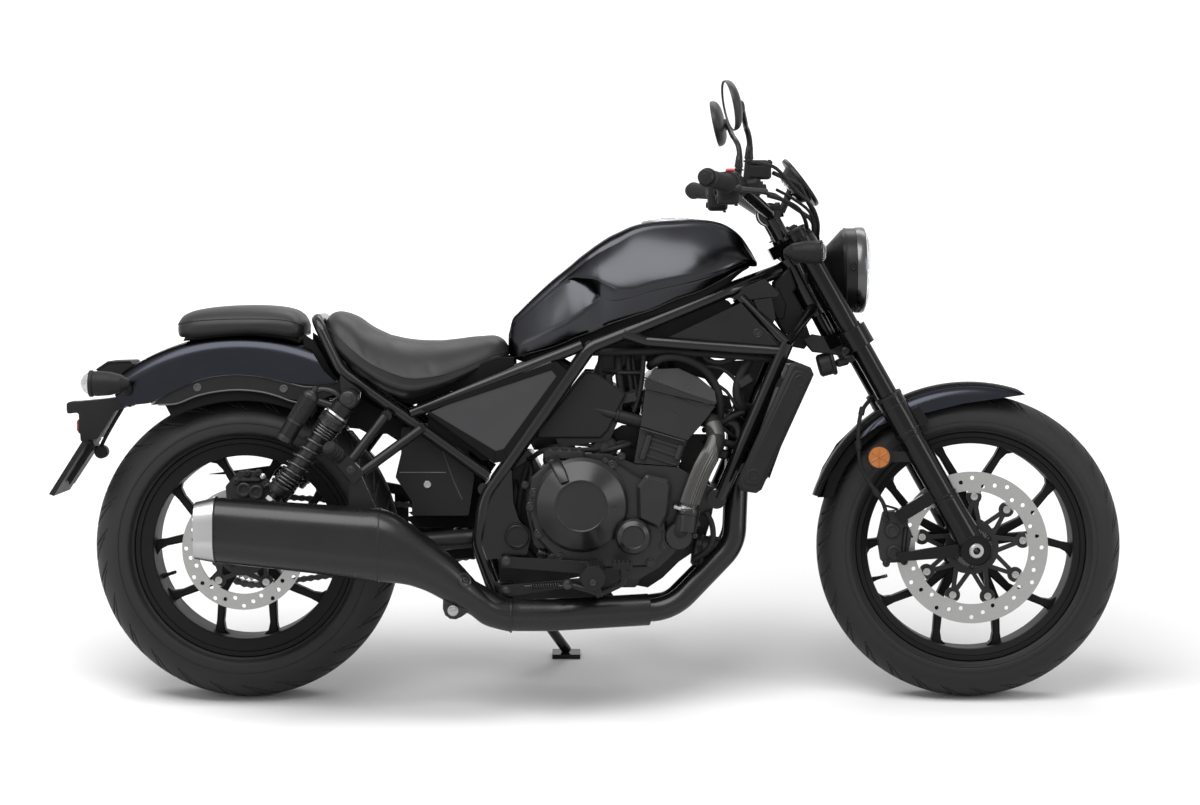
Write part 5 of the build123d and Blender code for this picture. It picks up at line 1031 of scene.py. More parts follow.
# gasket lips and beads of the cam cover on both sides: path in the photograph, depth, radius
lips = Batch()
for path, y, radius, sides in (
        (((644.5, 377.5), (709.5, 401.5)), -137.2, 1.3, 8),
        (((644.2, 380.2), (709, 404.2)), -137.2, 1.3, 8),
        (((641, 428.5), (685.5, 441.5)), -131, 2.4, 8), (((681.8, 421), (677, 437)), -131.8, 1, 6)):
    lips.tube([at(px, py, y) for px, py in path], radius, sides)
for path, radius, steps in (
        (((666.5, 394), (680, 398.5), (693, 404.5), (703, 407), (708.5, 406)), 1.1, 5),
        (((664, 407), (671, 410), (679, 414)), 0.9, 4)):
    lips.hose([at(px, py, -131.8) for px, py in path], radius, steps, 6)
# ring round the clutch cover's flat and its index tick
lips.mirror().lathe([(98.6, 0), (98.6, 2.2), (96.4, 2.2), (96.4, 0)], (704, -157.5, 416), -Y, 72)
lips.lathe([(53.6, 0), (53.6, 1.4), (51.4, 1.4), (51.4, 0)], (704, -188.0, 416), -Y, 56)
lips.tube([seen("engine_covers", px, py) for px, py in ((606, 507.5), (611.5, 506.8), (617, 506))],
          1.3, 6)
lips.make("engine_beads", "chassis", "engine_grey")

# water pump elbow below the hose
pump = Batch().cap([(21.5, 0), (21.5, 34), (24, 36), (24, 46), (21, 50), (21, 58)],
                   (919, -153.5, 362), (0.13, 0.02, 1.0), 28)
pump.cap([(0, -6), (27, -6), (29, 0), (29, 10), (26, 14), (0, 15)], (905, -150, 352), -Y, 28)
pump.block((889, -142, 352), tilted(0.1), (44, 18, 30), 4)
pump.block((930, -128, 372), tilted(0.5), (40, 26, 24), 4)
pump.make("pump_housing", "chassis", "engine_grey")
for px, py, y in ((676, 507, -152), (668, 543.5, -152), (695, 536, -146)):
    bolts.bolt(at(px, py, y), -Y, 6, 8)

# fluted sleeve over the coolant hose, smooth at its ends, and its clamp
SLEEVE_END = 22
hose_path = smooth_path([(922, -154, 405), (934, -153.5, 440), (953, -152, 488), (971, -142.5, 522),
                         (982.5, -129, 553), (976, -115, 580)], 7)
rows = []
u = None
for i, p in enumerate(hose_path):
    d = unit(hose_path[min(i + 1, len(hose_path) - 1)] - hose_path[max(i - 1, 0)])
    u = side_axes(d)[0] if u is None else unit(u - d * u.dot(d))
    taper = min(1.0, i / 3, max(0.0, (SLEEVE_END - i) / 2))
    rows.append([p + (18.4 + taper * (0.9 + 0.9 * cos(2 * pi * k / 4))) * (u * c + d.cross(u) * s)
                 for k, (c, s) in enumerate(around(96))])
Batch().skin(rows).make("hose_sleeve", "chassis", "sleeve", 60)
p = hose_path[1]
axis = unit(hose_path[2] - p)
worm, way = p + Vector((-20, -12, 3)), axis.cross(-Y) * 9
Batch().lathe([(19.6, -5), (21.2, -5), (22.1, -4), (21.2, -3.4), (21.2, 3.4), (22.1, 4), (21.2, 5),
               (19.6, 5)], p, axis).tube([worm - way, worm + way], 4.2, 10).make(
    "hose_clamps", "chassis", "stainless")

# injector plug standing out over the throttle bodies
plug = Batch()
for path, radii, sides in (
        (((641, 422, -104), (622, 417, -106), (616, 415.5, -106)), [14, 13.5, 12.5], 18),
        (((616.5, 415.6, -106), (608, 413.5, -106), (599, 410.5, -106), (591.5, 408, -106)),
         [10, 9.5, 7, 6], 16), (((636, 421, -104), (640, 421.5, -60)), 12, 14)):
    plug.tube([at(*p) for p in path], radii, sides)
plug.lathe([(12.6, -3), (14.8, -2), (14.8, 3), (12.6, 4)], at(617, 415.7, -106),
           at(641, 422, -106) - at(616, 415.6, -106), 24)
plug.make("injector_plug", "chassis", "plastic")

# starter motor behind the cylinders, breather box, speed sensor and oil filter
cans = Batch()
STARTER, SENSOR = (752, 0, 531), (652, 0, 300)
for profile, centre, segments in (
        ([(0, -104), (22, -104), (27, -99), (27, -60), (29, -58), (29, -50), (27, -48), (27, 40),
          (0, 40)], STARTER, 32), ([(0, -112), (9, -112), (10, -104), (0, -103)], STARTER, 18),
        ([(0, -150), (15, -150), (19, -146), (19, -100), (0, -100)], SENSOR, 24),
        ([(0, -163), (6, -163), (7, -158), (7, -150), (0, -150)], SENSOR, 16)):
    cans.cap(profile, centre, Y, segments)
cans.block((668, -112, 518), tilted(-0.05), (86, 44, 22), 4)
for k in range(4):
    cans.block((640 + 20 * k, -112, 527), SQUARE, (9, 40, 12), 2)
cans.cap([(0, -4), (30, -4), (34, 0), (34, 12), (31, 14), (31, 62), (27, 70), (0, 72)],
         (940, -70, 318), (1, 0, -0.16), 36)
for c, s in around(16):
    cans.tube([(970, -70 + 30.8 * c, 314 + 30.8 * s), (1000, -70 + 30.8 * c, 309 + 30.8 * s)],
              1.8, 6)
cans.make("engine_units", "chassis", "cast_black")

# brake light switch low behind the clutch, and the spark plug caps
a, b = at(537, 553.5, -120), at(566, 557, -120)
long = (b - a).length
Batch().cap([(0, 0), (9, 0), (11, 3), (11, 12), (12.5, 13), (12.5, 18), (11, 19), (11, 46),
             (12.5, 47), (12.5, 52), (10, 54), (10, long), (0, long)], a, b - a).make(
    "brake_light_switch", "chassis", "engine_grey")
coils = Batch()
for y in (-52, 48):
    coils.cap([(0, -6), (16, -6), (16, 2), (12, 6), (12, 26), (15, 29), (15, 40), (10, 46),
               (0, 46)], (880, y, 697), (0.3, 0, 0.95), 20)
coils.make("plug_caps", "chassis", "rubber")

# looms, hoses and cables round the head, each ending inside what carries it: path, radius
loom = Batch()
for path, radius in (
        # breather and fuel hoses hanging from the tank to the throttle bodies
        (((603, 338, -62), (601, 352, -70), (600, 372, -76), (604, 392, -84), (611, 406, -92)),
         5.5),
        (((618, 338, -60), (618, 360, -78), (620, 384, -84), (625, 406, -88)), 8),
        (((629, 338, -66), (628, 362, -84), (631, 386, -84), (633, 408, -88)), 4.5),
        (((633, 336, -66), (633, 360, -84), (636, 384, -84), (639, 408, -88)), 3.2),
        (((643, 338, -66), (643.5, 352, -92), (643, 368, -96), (640, 392, -96), (634, 412, -94)),
         5),
        (((600, 371, -70), (612, 371, -84), (626, 372.5, -86), (642, 373, -84)), 3),
        # coolant hoses over the cam cover and the looms beside them
        (((650, 366, -60), (655, 362.5, -100), (663, 358, -106), (676, 357, -104), (690, 361, -100),
          (703, 369, -92), (713, 381, -90), (719, 396, -92), (720, 414, -92), (716, 432, -88),
          (706, 444, -70)), 9),
        (((590, 352, -80), (640, 351, -98), (660, 350.5, -100), (700, 353, -100), (740, 356, -100),
          (766, 358, -98), (784, 361, -90)), 8.5),
        (((660, 350, -96), (667, 354, -96), (672, 360, -80), (670, 372, -50)), 4.5),
        (((672, 349, -96), (680, 358, -96), (692, 358, -96), (700, 352, -96), (712, 350, -94)), 4),
        (((700, 350, -98), (708, 360, -98), (722, 362, -98), (738, 357, -96), (752, 357, -94)), 5),
        (((706, 366, -90), (722, 369, -98), (735, 380, -98), (743, 397, -94), (743, 410, -80)), 4),
        (((718, 385, -92), (727, 392, -98), (736, 405, -98), (744, 412, -88)), 3.5),
        (((744, 412, -88), (732, 417, -98), (722, 423, -98), (712, 428, -92), (704, 430, -70)), 6),
        (((735, 398, -90), (733, 408, -94), (726, 418, -96), (722, 430, -90), (712, 438, -70)),
         2.6),
        (((752, 356, -86), (741, 374, -96), (737, 392, -96), (742, 405, -90), (750, 408, -70)), 10),
        (((735, 437, -84), (728, 432, -94), (722, 426, -96), (717, 414, -90)), 4),
        (((716, 432, -70), (722, 441, -88), (730, 444, -90), (738, 446, -84)), 8),
        # across the top of the crankcase, under the airbox
        (((528, 462, -60), (540, 452, -112), (556, 449, -116), (580, 450, -112), (600, 449, -100),
          (612, 446, -96), (624, 442, -90), (634, 446, -80)), 5.5),
        (((536, 446, -70), (552, 446.5, -100), (572, 444, -104), (592, 446, -100), (606, 452, -90),
          (618, 456, -80)), 4),
        (((600, 452, -100), (610, 450, -116), (620, 447, -118), (630, 444, -104)), 5.5),
        # behind the clutch cover, down to the gearbox
        (((530, 458, -50), (526, 470, -92), (521, 490, -96), (519, 512, -96), (524, 528, -80)), 5),
        (((527, 456, -50), (531, 472, -100), (527, 496, -104), (530, 520, -104), (537, 536, -90),
          (541, 552, -80)), 4),
        (((514, 470, -40), (516, 492, -80), (514, 512, -84), (521, 540, -80), (540, 566, -70)), 6),
        # in front of the crankcase
        (((706, 512, -120), (712, 524, -118), (713, 540, -116), (706, 552, -112), (694, 560, -100)),
         6), (((699, 546, -100), (702, 560, -104), (697, 574, -104), (688, 586, -90)), 5)):
    loom.hose([at(*p) for p in path], radius, 5, 10)
loom.make("hoses_and_looms", "chassis", "rubber", 60)

# small boxes and brackets held among them: place, slope, size, chamfer
boxes = Batch()
for place, slope, size, soft in (
        ((745, 381, -92), 0.6, (34, 34, 22), 4), ((716, 452, -92), -0.3, (52, 30, 20), 4),
        ((609, 381, -70), 0.1, (16, 20, 34), 3), ((630, 372.5, -84), 0, (58, 18, 9), 3),
        ((628, 398, -84), 0.2, (44, 34, 26), 5), ((700, 352, -84), -0.06, (120, 22, 18), 3)):
    boxes.block(at(*place), tilted(slope), size, soft)
boxes.make("engine_brackets", "chassis", "cast_black")

# radiator grille: slats across and fins down its face
grille = Batch()
up = unit((83, 0, 230))
out = Vector((up.z, 0, -up.x))
face = Vector((1172, 0, 701))
for k in range(21):
    p = face - up * (12 + 11 * k) + out
    grille.tube([p - Y * 146, p + Y * 146], 1.5, 6)
for k in range(15):
    p = face + Y * (20 * k - 140) + out * 2.4
    grille.tube([p, p - up * 244], 1.2, 6)
grille.make("radiator_grille", "chassis", "satin_black")
spot = seen("frame_covers", 757.5, 333)
for side in SIDES:
    p = Vector((spot.x, spot.y * side, spot.z))
    lugs.cap([(9.5, -1), (9.5, 1.0), (8.2, 1.8), (7, 1.0), (0, 1.0)], p, -Y * side, 22)
    bolts.bolt(p, -Y * side, 5.5, 3)
lugs.make("screw_bosses", "chassis", "engine_grey")
bolts.make("engine_screws", "chassis", "screw_black")

# ---- rear suspension ----
SHOCK_TOP = Vector((227, -160, 635))
SHOCK_AXIS = Vector((34, -160, 380)) - SHOCK_TOP
u, v = side_axes(SHOCK_AXIS)
# share of the spring's length, turns wound so far: close coils at both ends
WINDING = [(0.0, 0.0), (0.16, 4.0), (0.30, 5.2), (0.74, 8.6), (0.84, 9.8), (1.0, 13.0)]
TURN_STEPS = 18
wire = []
for i in range(13 * TURN_STEPS + 1):
    turn = i / TURN_STEPS
    k = 0
    while k < len(WINDING) - 2 and turn > WINDING[k + 1][1]:
        k += 1
    (s0, t0), (s1, t1) = WINDING[k], WINDING[k + 1]
    share = s0 + (s1 - s0) * (turn - t0) / (t1 - t0)
    wire.append(SHOCK_TOP + SHOCK_AXIS * (0.215 + 0.485 * share)
                + 23.6 * (u * cos(2 * pi * turn) + v * sin(2 * pi * turn)))
Batch().tube(wire, 2.9, 10).mirror().make("springs", "chassis", "spring_black", 60,
                                          ["shock_springs"])

# damper tube inside the coils, adjuster collar, lower seat, chrome band and rod end:
# (radius, share of the shock's length) points
shock, bright = Batch(), Batch()
for batch, profile, segments in (
        (shock, ((0, 0.20), (18.5, 0.20), (18.5, 0.70), (14, 0.705), (14, 0.76), (0, 0.76)), 32),
        (shock, ((20, 0.135), (25, 0.142), (26.5, 0.15), (26.5, 0.172), (25.6, 0.176),
                 (25.6, 0.196), (28, 0.20), (28, 0.213), (19, 0.214)), 40),
        (shock, ((19, 0.695), (27.5, 0.697), (27.5, 0.712), (25, 0.716), (25, 0.74), (22, 0.765),
                 (0, 0.77)), 40),
        (bright, ((22, 0.118), (25.2, 0.121), (26.6, 0.134), (24, 0.1355), (20, 0.1355)), 48),
        (bright, ((13.4, 0.80), (16, 0.805), (16, 0.83), (13.4, 0.835)), 6)):
    batch.cap([(r, SHOCK_AXIS.length * s) for r, s in profile], SHOCK_TOP, SHOCK_AXIS, segments)
for d in circle(Vector(), u, v, 20):
    shock.tube([SHOCK_TOP + SHOCK_AXIS * share + d * 25.8 for share in (0.176, 0.197)], 1.5, 6)
# eyes: washer and bolt head
for share, reach, out in ((0.0, 16.5, -176), (1.0, 13, -172)):
    p = SHOCK_TOP + SHOCK_AXIS * share
    shock.cap([(reach, 0), (reach, 3), (reach - 2, 4.5), (0, 4.5)], (p.x, out, p.z), -Y, 28)
    shock.bolt((p.x, out - 4.0, p.z), -Y, reach * 0.58, 6, socket=False)

# remote reservoirs: ribbed upper body, joint band, end cap, valve and hose
RES_TOP, RES_LOW = Vector((150, -164, 642)), Vector((94, -164, 550))
axis, long = unit(RES_LOW - RES_TOP), (RES_LOW - RES_TOP).length
u, v = side_axes(axis)
shock.cap([(0, -9), (11, -9), (13, -6), (17.4, -3), (18.6, 0), (18.6, 5), (17.5, 6)], RES_TOP,
          axis, 32)
shock.lathe([(17.4, 60), (19.2, 61), (19.2, 66), (17.4, 67)], RES_TOP, axis, 32)
shock.cap([(18.0, 98), (18.8, 99), (18.8, long), (16.4, long + 2.5), (0, long + 2.5)], RES_TOP,
          axis, 32)
shock.cap([(0, -21), (5, -21), (6, -20), (6, -7), (0, -7)], RES_TOP + u * 5, axis, 14)
for p in circle(RES_TOP + axis * 7, u * 17.9, v * 17.9, 28):
    shock.tube([p, p + axis * 52], 1.0, 5)
shock.hose([RES_TOP + Vector((6, 0, 6)), (172, -166, 655), (196, -166, 650), (212, -164, 636)],
           5.5, 5, 10)
shock.mirror().make("shock_fittings", "chassis", "shock_black")
bright.mirror().make("shock_brightwork", "chassis", "cap_metal")

# ---- rear mudguard, lamps and number plate holder ----
beads = Batch()
for line in (((150.8, 403.0), (172.6, 390.0), (196.3, 380.3), (218, 375.6), (239.8, 374.4),
              (263.5, 376.8), (287.2, 382.5), (307, 387.0), (326.8, 384.8), (337, 381.5)),
             ((158, 404.6), (176.5, 403.6), (196.3, 396.0), (216, 391.6), (237.8, 389.8),
              (259.6, 391.6), (277.4, 396.0), (293, 401.6), (313, 404.2), (330.7, 401.6),
              (341, 394.0))):
    beads.hose([at(px, py, -106.2) for px, py in line], 1.9, 5, 8)
for px, py in ((197.3, 387.3), (283.7, 388.6)):
    beads.cap([(8.5, 0), (8.5, 1.4), (7.4, 2.4), (5.2, 2.4), (4.4, 1.2), (0, 1.2)],
              at(px, py, -106), -Y)
beads.mirror().make("valance_beads", "chassis", "valance_edge")

# clear faceted lens, bezel ring and stalk boot of each rear indicator
lamps, chrome = Batch(), Batch()
for side in SIDES:
    base = Vector((-306, side * 141, 666))
    chrome.skin([circle(base - X * back, Y * r, Z * r, 16, start) for r, back, start in
                 ((25.5, -2, 0), (24.5, 4, 0), (17.5, 14, 0.5), (8, 20, 0), (1, 21.5, 0))],
                ends=False)
    lamps.lathe([(25.4, -6), (27.6, -4), (27.6, 2), (25, 3.5)], base, -X)
    lamps.cap([(9, 0), (13, 2), (12, 9), (10.5, 12), (11.5, 15), (9, 20)],
              (-236, side * 113, 651), (-0.4, side * 0.9, 0.4))
    lamps.tube([(-300, side * 55.2, 673), (-262, side * 55.2, 663), (-240, side * 55.2, 668)],
               1.4, 6)
chrome.make("indicator_lenses", "chassis", "clear_lens", 12)

# tail lamp: visor lip over the red lens
rows = []
for y in (-50, -44, -20, 0, 20, 44, 50):
    sag = 3.0 if abs(y) == 50 else 0.0
    rows.append([(-288 + sag, y, 704 - sag), (-306 + sag, y, 692 - sag), (-311 + sag, y, 688),
                 (-306 + sag, y, 676 + sag), (-301 + sag, y, 670 + sag), (-285, y, 672 + sag)])
Batch().skin(rows).make("tail_lamp_lens", "chassis", "red_lens")
lamps.plate([(-312, 692), (-286, 709.5), (-240, 711), (-236, 707.5), (-284, 705), (-306, 690.5)],
            -57, 57, 1.2)

# number plate lamp, red reflector in its frame, and the clips and stiffeners of the holder
for x, z, slope, size, soft in ((-352, 615, 0, (46, 78, 17), 3), (-361, 604, 0.1, (32, 60, 8), 2),
                                (-349, 573, 0, (6, 74, 32), 2)):
    lamps.block((x, 0, z), tilted(slope), size, soft)
Batch().block((-352.5, 0, 573), SQUARE, (7, 66, 24), 2).make("rear_reflector", "chassis",
                                                             "red_lens")
lean = unit((-70, 0, -110))
square = Vector((-lean.z, 0, lean.x))
for y in (-84, -40, 40, 84):
    lamps.block(Vector((-360, y, 487)) - square * 4, (lean, Y, square), (104, 7, 9), 1.5)
for s in (-46, -8, 40):
    lamps.block(Vector((-362, 0, 487)) + lean * s - square * 3.5, (lean, Y, square), (7, 176, 7),
                1.5)
lamps.cap([(0, -16), (12, -16), (14, -12), (14, 12), (12, 16), (0, 16)], (-309, 0, 517), Y, 28)
lamps.hose([(-309, -4, 530), (-300, -6, 548), (-284, -8, 576), (-266, -8, 606), (-252, -6, 630)],
           4.2, 5, 8)
for y in (-20, 20):
    lamps.bolt((-378, y, 466), -square, 5, 4)
lamps.make("lamp_fittings", "chassis", "plastic")

# ---- exhaust ----
# the can and its down-swept front as one shell: upper edge, lower edge, middle y, half width,
# corner radius
MUFFLER = [
    ((-36, 438.5), (-36, 305.5), -236, 54, 50), ((120, 427.5), (115, 289), -236, 55, 51.5),
    ((262, 418), (258, 272), -236, 56, 53), ((297, 415.5), (293, 267.2), -236, 56, 53),
    ((333, 401), (322, 264.5), -236, 54.5, 53), ((370, 375.5), (354, 259.5), -235, 51, 50),
    ((412, 343), (389, 247.5), -233, 46, 45), ((449, 311), (421, 230.5), -230, 41, 39),
    ((479, 278), (449, 214.5), -226, 38, 34), ((506, 246.5), (476, 200), -217, 35.5, 27),
    ((532, 228), (508, 175), -206, 34.5, 28), ((562, 226.5), (560, 158.5), -193, 34.2, 34),
]
CORNER_STEPS = 12


def can_ring(top, low, half, corner):
    """Rounded rectangle between an upper and a lower edge point."""
    y = top.y
    top, low = Vector((top.x, 0, top.z)), Vector((low.x, 0, low.z))
    middle, up, tall = (top + low) / 2, unit(top - low), (top - low).length / 2
    r = min(corner, half - 0.2, tall - 0.2)
    return [middle + up * (cu * (tall - r) + r * sin(a)) + Y * (y + cy * (half - r) + r * cos(a))
            for cy, cu, start in ((1, 1, 0), (-1, 1, 90), (-1, -1, 180), (1, -1, 270))
            for a in (radians(start + 90 / (CORNER_STEPS - 1) * k) for k in range(CORNER_STEPS))]


uppers, lowers, corners = (smooth_path(points, 5) for points in (
    [(s[0][0], s[2], s[0][1]) for s in MUFFLER], [(s[1][0], s[3], s[1][1]) for s in MUFFLER],
    [(s[4], 0, 0) for s in MUFFLER]))
rings = [can_ring(top, low, low.y, c.x) for top, low, c in zip(uppers, lowers, corners)]
can = Batch().skin(rings)
can.plate([(424, 238), (423.5, 212), (428, 199), (438, 191.5), (450, 190.5), (462, 196), (476, 206),
           (488, 226), (450, 252)], -246, -228, 2.5)
can_tree = BVHTree.FromPolygons(can.verts, can.faces)
can.make("muffler_shell", "chassis", "heat_black", 50, ["muffler"])
# seam of the front cover and the beads at both ends
seams = Batch()
for index, by, radius, sides in ((15, -0.3, 1.5, 6), (0, 0.2, 2.0, 8), (-1, -0.4, 2.4, 8)):
    seams.tube(swollen(rings[index], 1, by), radius, sides, closed=True)
seams.make("muffler_seams", "chassis", "heat_black")
spot, n = can_tree.ray_cast(at(461, 588.5, -400), Y)[:2]
n *= copysign(1, -n.y)
Batch().cap([(16, -2), (16, 0.6), (13.5, 1.4), (11, -1.5), (9, -4), (0, -4)], spot, n, 30).bolt(
    spot - n * 2, n, 6.5, 5).make("muffler_recess", "chassis", "screw_black")
nuts = Batch()
lug = at(452.5, 611.5, -245)
nuts.cap([(11, 0), (11, 2), (9.5, 3), (0, 3)], lug, -Y)
nuts.bolt(lug - Y * 2.5, -Y, 7.5, 6, socket=False)
nuts.cap([(8.6, 0), (8.6, 1.6), (7, 3.2), (2.2, 3.4), (1.8, 2.0), (0, 2.0)],
         at(427.2, 484.6, -104), -Y, 22)
nuts.lathe([(38, -76), (34.5, -76), (34.5, -52), (38, -52)], (0, -236, 371), X)
nuts.make("exhaust_brightwork", "chassis", "stainless")
band = Batch()
for path in (((441.5, 447), (447, 463), (453, 480), (462, 500)),
             ((399.5, 472.6), (420, 472.6), (446, 472.6))):
    band.hose([at(px, py, -103.6) for px, py in path], 1.3, 4, 6)
band.make("battery_box_seams", "chassis", "valance_edge")

# ---- final drive: straight runs tangent to both sprockets, one link for each pitch ----
REAR_R, FRONT_R, PITCH, CHAIN_Y = 97.0, 34.0, 15.875, 106.0
FRONT_SPROCKET = Vector((640, 0, 342))
gap = FRONT_SPROCKET - REAR_HUB
tilt, wrap = atan2(gap.z, gap.x), acos((REAR_R - FRONT_R) / gap.length)
run_long = sqrt(gap.length ** 2 - (REAR_R - FRONT_R) ** 2)
front_arc = FRONT_R * 2 * wrap
loop_long = 2 * run_long + front_arc + REAR_R * (2 * pi - 2 * wrap)


def chain_spot(s):
    """Place on the pitch line at a distance along the loop."""
    s %= loop_long
    high, low = tilt + wrap, tilt - wrap

    def rim(hub, r, angle):
        return hub + Vector((r * cos(angle), 0, r * sin(angle)))
    if s < run_long:
        return rim(REAR_HUB, REAR_R, high).lerp(rim(FRONT_SPROCKET, FRONT_R, high), s / run_long)
    s -= run_long
    if s < front_arc:
        return rim(FRONT_SPROCKET, FRONT_R, high - s / FRONT_R)
    s -= front_arc
    if s < run_long:
        return rim(FRONT_SPROCKET, FRONT_R, low).lerp(rim(REAR_HUB, REAR_R, low), s / run_long)
    return rim(REAR_HUB, REAR_R, low - (s - run_long) / REAR_R)


links = Batch()
link_count = 2 * round(loop_long / PITCH / 2)
spots = [chain_spot(loop_long / link_count * k) for k in range(link_count + 1)]
for k, (a, b) in enumerate(zip(spots, spots[1:])):
    d = unit(b - a)
    across = Vector((-d.z, 0, d.x))
    out = 8.4 if k % 2 else 6.6
    outline = []
    for centre, start, waist in ((b, -90, 4.4), (a, 90, -4.4)):
        outline += [centre + 6.6 * (d * cos(t) + across * sin(t))
                    for t in (radians(start + 30 * j) for j in range(7))]
        outline.append((a + b) / 2 + across * waist)
    for side in SIDES:
        links.skin([[p + Y * (CHAIN_Y + side * reach) for p in outline]
                    for reach in (out, out - 1.7)])
    links.cap([(0, -9.6), (3.2, -9.6), (3.2, 9.6), (0, 9.6)], a + Y * CHAIN_Y, Y, 8)
    links.cap([(5.0, -5), (5.0, 5)], a + Y * CHAIN_Y, Y, 10)
# teeth of both sprockets and the bolts of the rear one
teeth_ring = Batch()
for batch, hub, radius, teeth in ((teeth_ring, REAR_HUB, REAR_R, 38),
                                  (links, FRONT_SPROCKET, FRONT_R, 14)):
    steps = around(teeth * 4)
    rim = [radius + (-4.5, -3.6, 4.0, 4.0)[k % 4] for k in range(teeth * 4)]
    core = [radius - 9] * len(rim)
    batch.skin([[hub + Vector((r * c, CHAIN_Y + y, r * s)) for (c, s), r in zip(steps, radii)]
                for radii, y in ((core, -3.4), (rim, -2.6), (rim, 2.6), (core, 3.4))], True)
for c, s in around(5, 0.15):
    teeth_ring.bolt(REAR_HUB + Vector((40 * c, CHAIN_Y - 4.5, 40 * s)), Y, 6.5, 8, socket=False)
teeth_ring.make("sprocket_teeth", "rear_wheel", "steel")
links.make("chain_links", "chassis", "chain_steel", hides=["drive_chain"])

# ---- swingarm: axle blocks, adjuster screws, end plates and marks, and the pivot caps ----
plates, arm = Batch(), Batch()
plates.block((0, -147.5, 320), SQUARE, (50, 5, 40), 2)
plates.block((-31, -138, 320), tilted(0.05), (5, 22, 44), 1.5)
plates.cap([(4, -2), (4, 16)], (-45, -138, 320), X, 12)
plates.bolt((-33, -138, 320), -X, 7.5, 6, socket=False)
plates.mirror()
for side, k in product(SIDES, range(6)):
    plates.tube([(8 * k - 20, side * 146.4, z) for z in (342, 346)], 0.7, 5)
pivot = seen("main_frame", 517, 537)
arm.cap([(24.5, -1), (24.5, 3), (22.5, 5), (20.5, 5), (19.5, 3.6), (0, 3.6)], pivot, -Y, 40)
arm.lathe([(27.5, -1), (27.5, 1.2), (25.6, 1.6), (25.6, 0)], pivot, -Y, 44)
arm.mirror().make("pivot_caps", "chassis", "satin_black")
plates.make("chain_adjusters", "chassis", "screw_black")

# ---- rider's and passenger's footrests, pedals ----
treads, metal = Batch(), Batch()
for k in range(11):
    treads.lathe([(16, -4.6), (19.6, -3.2), (19.6, 3.2), (16, 4.6)], (729, -214 - 14 * k, 280), Y,
                 24)
treads.block((729, -286, 296), SQUARE, (26, 150, 7), 2.5)
for k in range(9):
    treads.block((729, -222 - 16 * k, 300.5), SQUARE, (24, 5, 4), 1.0)
metal.bolt((729, -378, 280), -Y, 7, 4)
metal.cap([(19, 0), (19, 2), (17, 3), (0, 3)], (729, -204, 280), -Y, 28)
for x, z in ((550, 303), (549, 241)):
    metal.bolt((x, -178, z), -Y, 7.5, 6, socket=False)
start, end = Vector((210, -196, 519)), Vector((190, -222, 540))
treads.tube([start, end, end + unit(end - start) * 4], [14, 14, 10], 16)
for k in range(4):
    treads.lathe([(13, -2), (15.6, -1.2), (15.6, 1.2), (13, 2)], start.lerp(end, 0.15 + 0.25 * k),
                 end - start, 18)
metal.bolt((234, -204, 492), -Y, 6.5, 5)
metal.cap([(9, 0), (9, 1.6), (0, 1.6)], (234, -204, 492), -Y, 20)
treads.mirror()
metal.mirror()
# brake pedal pad ribs, pivot bolt and return spring
for k in range(4):
    treads.block((773 + 8.5 * k, -237, 307.5), tilted(0.06), (4.6, 46, 4), 1.0)
metal.bolt((676, -196, 256), -Y, 7.5, 6, socket=False)
start, way = Vector((600, -186, 252)), Vector((60, -2, 2))
u, v = side_axes(way)
metal.tube([start + way * k / 120 + 5.2 * (u * cos(pi * k / 5) + v * sin(pi * k / 5))
            for k in range(121)], 1.3, 6)
metal.tube([(588, -184, 252), (604, -186, 252)], 1.6, 6)
metal.tube([(656, -188, 254), (672, -190, 252)], 1.6, 6)
# gear lever: rubber sleeve, linkage rod with ball ends
for k in range(7):
    treads.lathe([(9, -3), (11.6, -2), (11.6, 2), (9, 3)], (880, 204 + 9 * k, 330), Y, 18)
metal.tube([(786, 186, 296), (700, 180, 318)], 4, 10)
for place in ((786, 186, 296), (700, 180, 318)):
    metal.cap([(0, -7), (7, -5), (7, 5), (0, 7)], place, Y, 14)
metal.block((699, 170, 326), ((0.3, 0, 1), Y, (-1, 0, 0.3)), (28, 9, 14), 2)
metal.cap([(8, 0), (8, 40), (0, 40)], (697, 134, 334), Y, 16)
treads.make("peg_rubbers", "chassis", "grip_rubber")
metal.make("control_fittings", "chassis", "screw_black")

# ---- dark inner parts that close the view through the machine ----
# side walls of the tray under the seat, then boxes over and under the swingarm pivot:
# depth, reach either side of it, chamfer, outline in the photograph
walls = Batch()
for depth, reach, soft, outline in (
        (-92, 2, 1, ((304, 333.6), (315, 341), (333, 373.6), (351.3, 390), (369.5, 402.7),
                     (395, 417), (420, 432), (398, 441), (386.8, 433.8), (369.5, 434.5),
                     (359.5, 429), (349.5, 428), (342, 411), (334, 389), (322, 368), (304, 350))),
        (-96, 2, 1, ((372, 383), (404, 403), (413, 405), (482, 380), (514, 366), (514, 357),
                     (497, 357), (480, 364), (440, 379), (413, 387))),
        (-66, 4, 1.5, ((402, 494), (411, 505), (418.5, 515), (404, 517.5), (417, 528), (476, 528),
                       (478, 500), (484, 478), (487, 468), (470, 440), (440, 440))),
        (-84, 4, 1.5, ((424, 540), (478, 540), (480, 558.5), (455, 559.5)))):
    walls.trace(outline, depth, depth - reach, depth + reach, soft)
# backing of the side panels
walls.plate([(380, 600), (648, 722), (684, 700), (566, 520), (500, 505)], -125, -120, 1)
walls.mirror().make("inner_walls", "chassis", "tray_black")

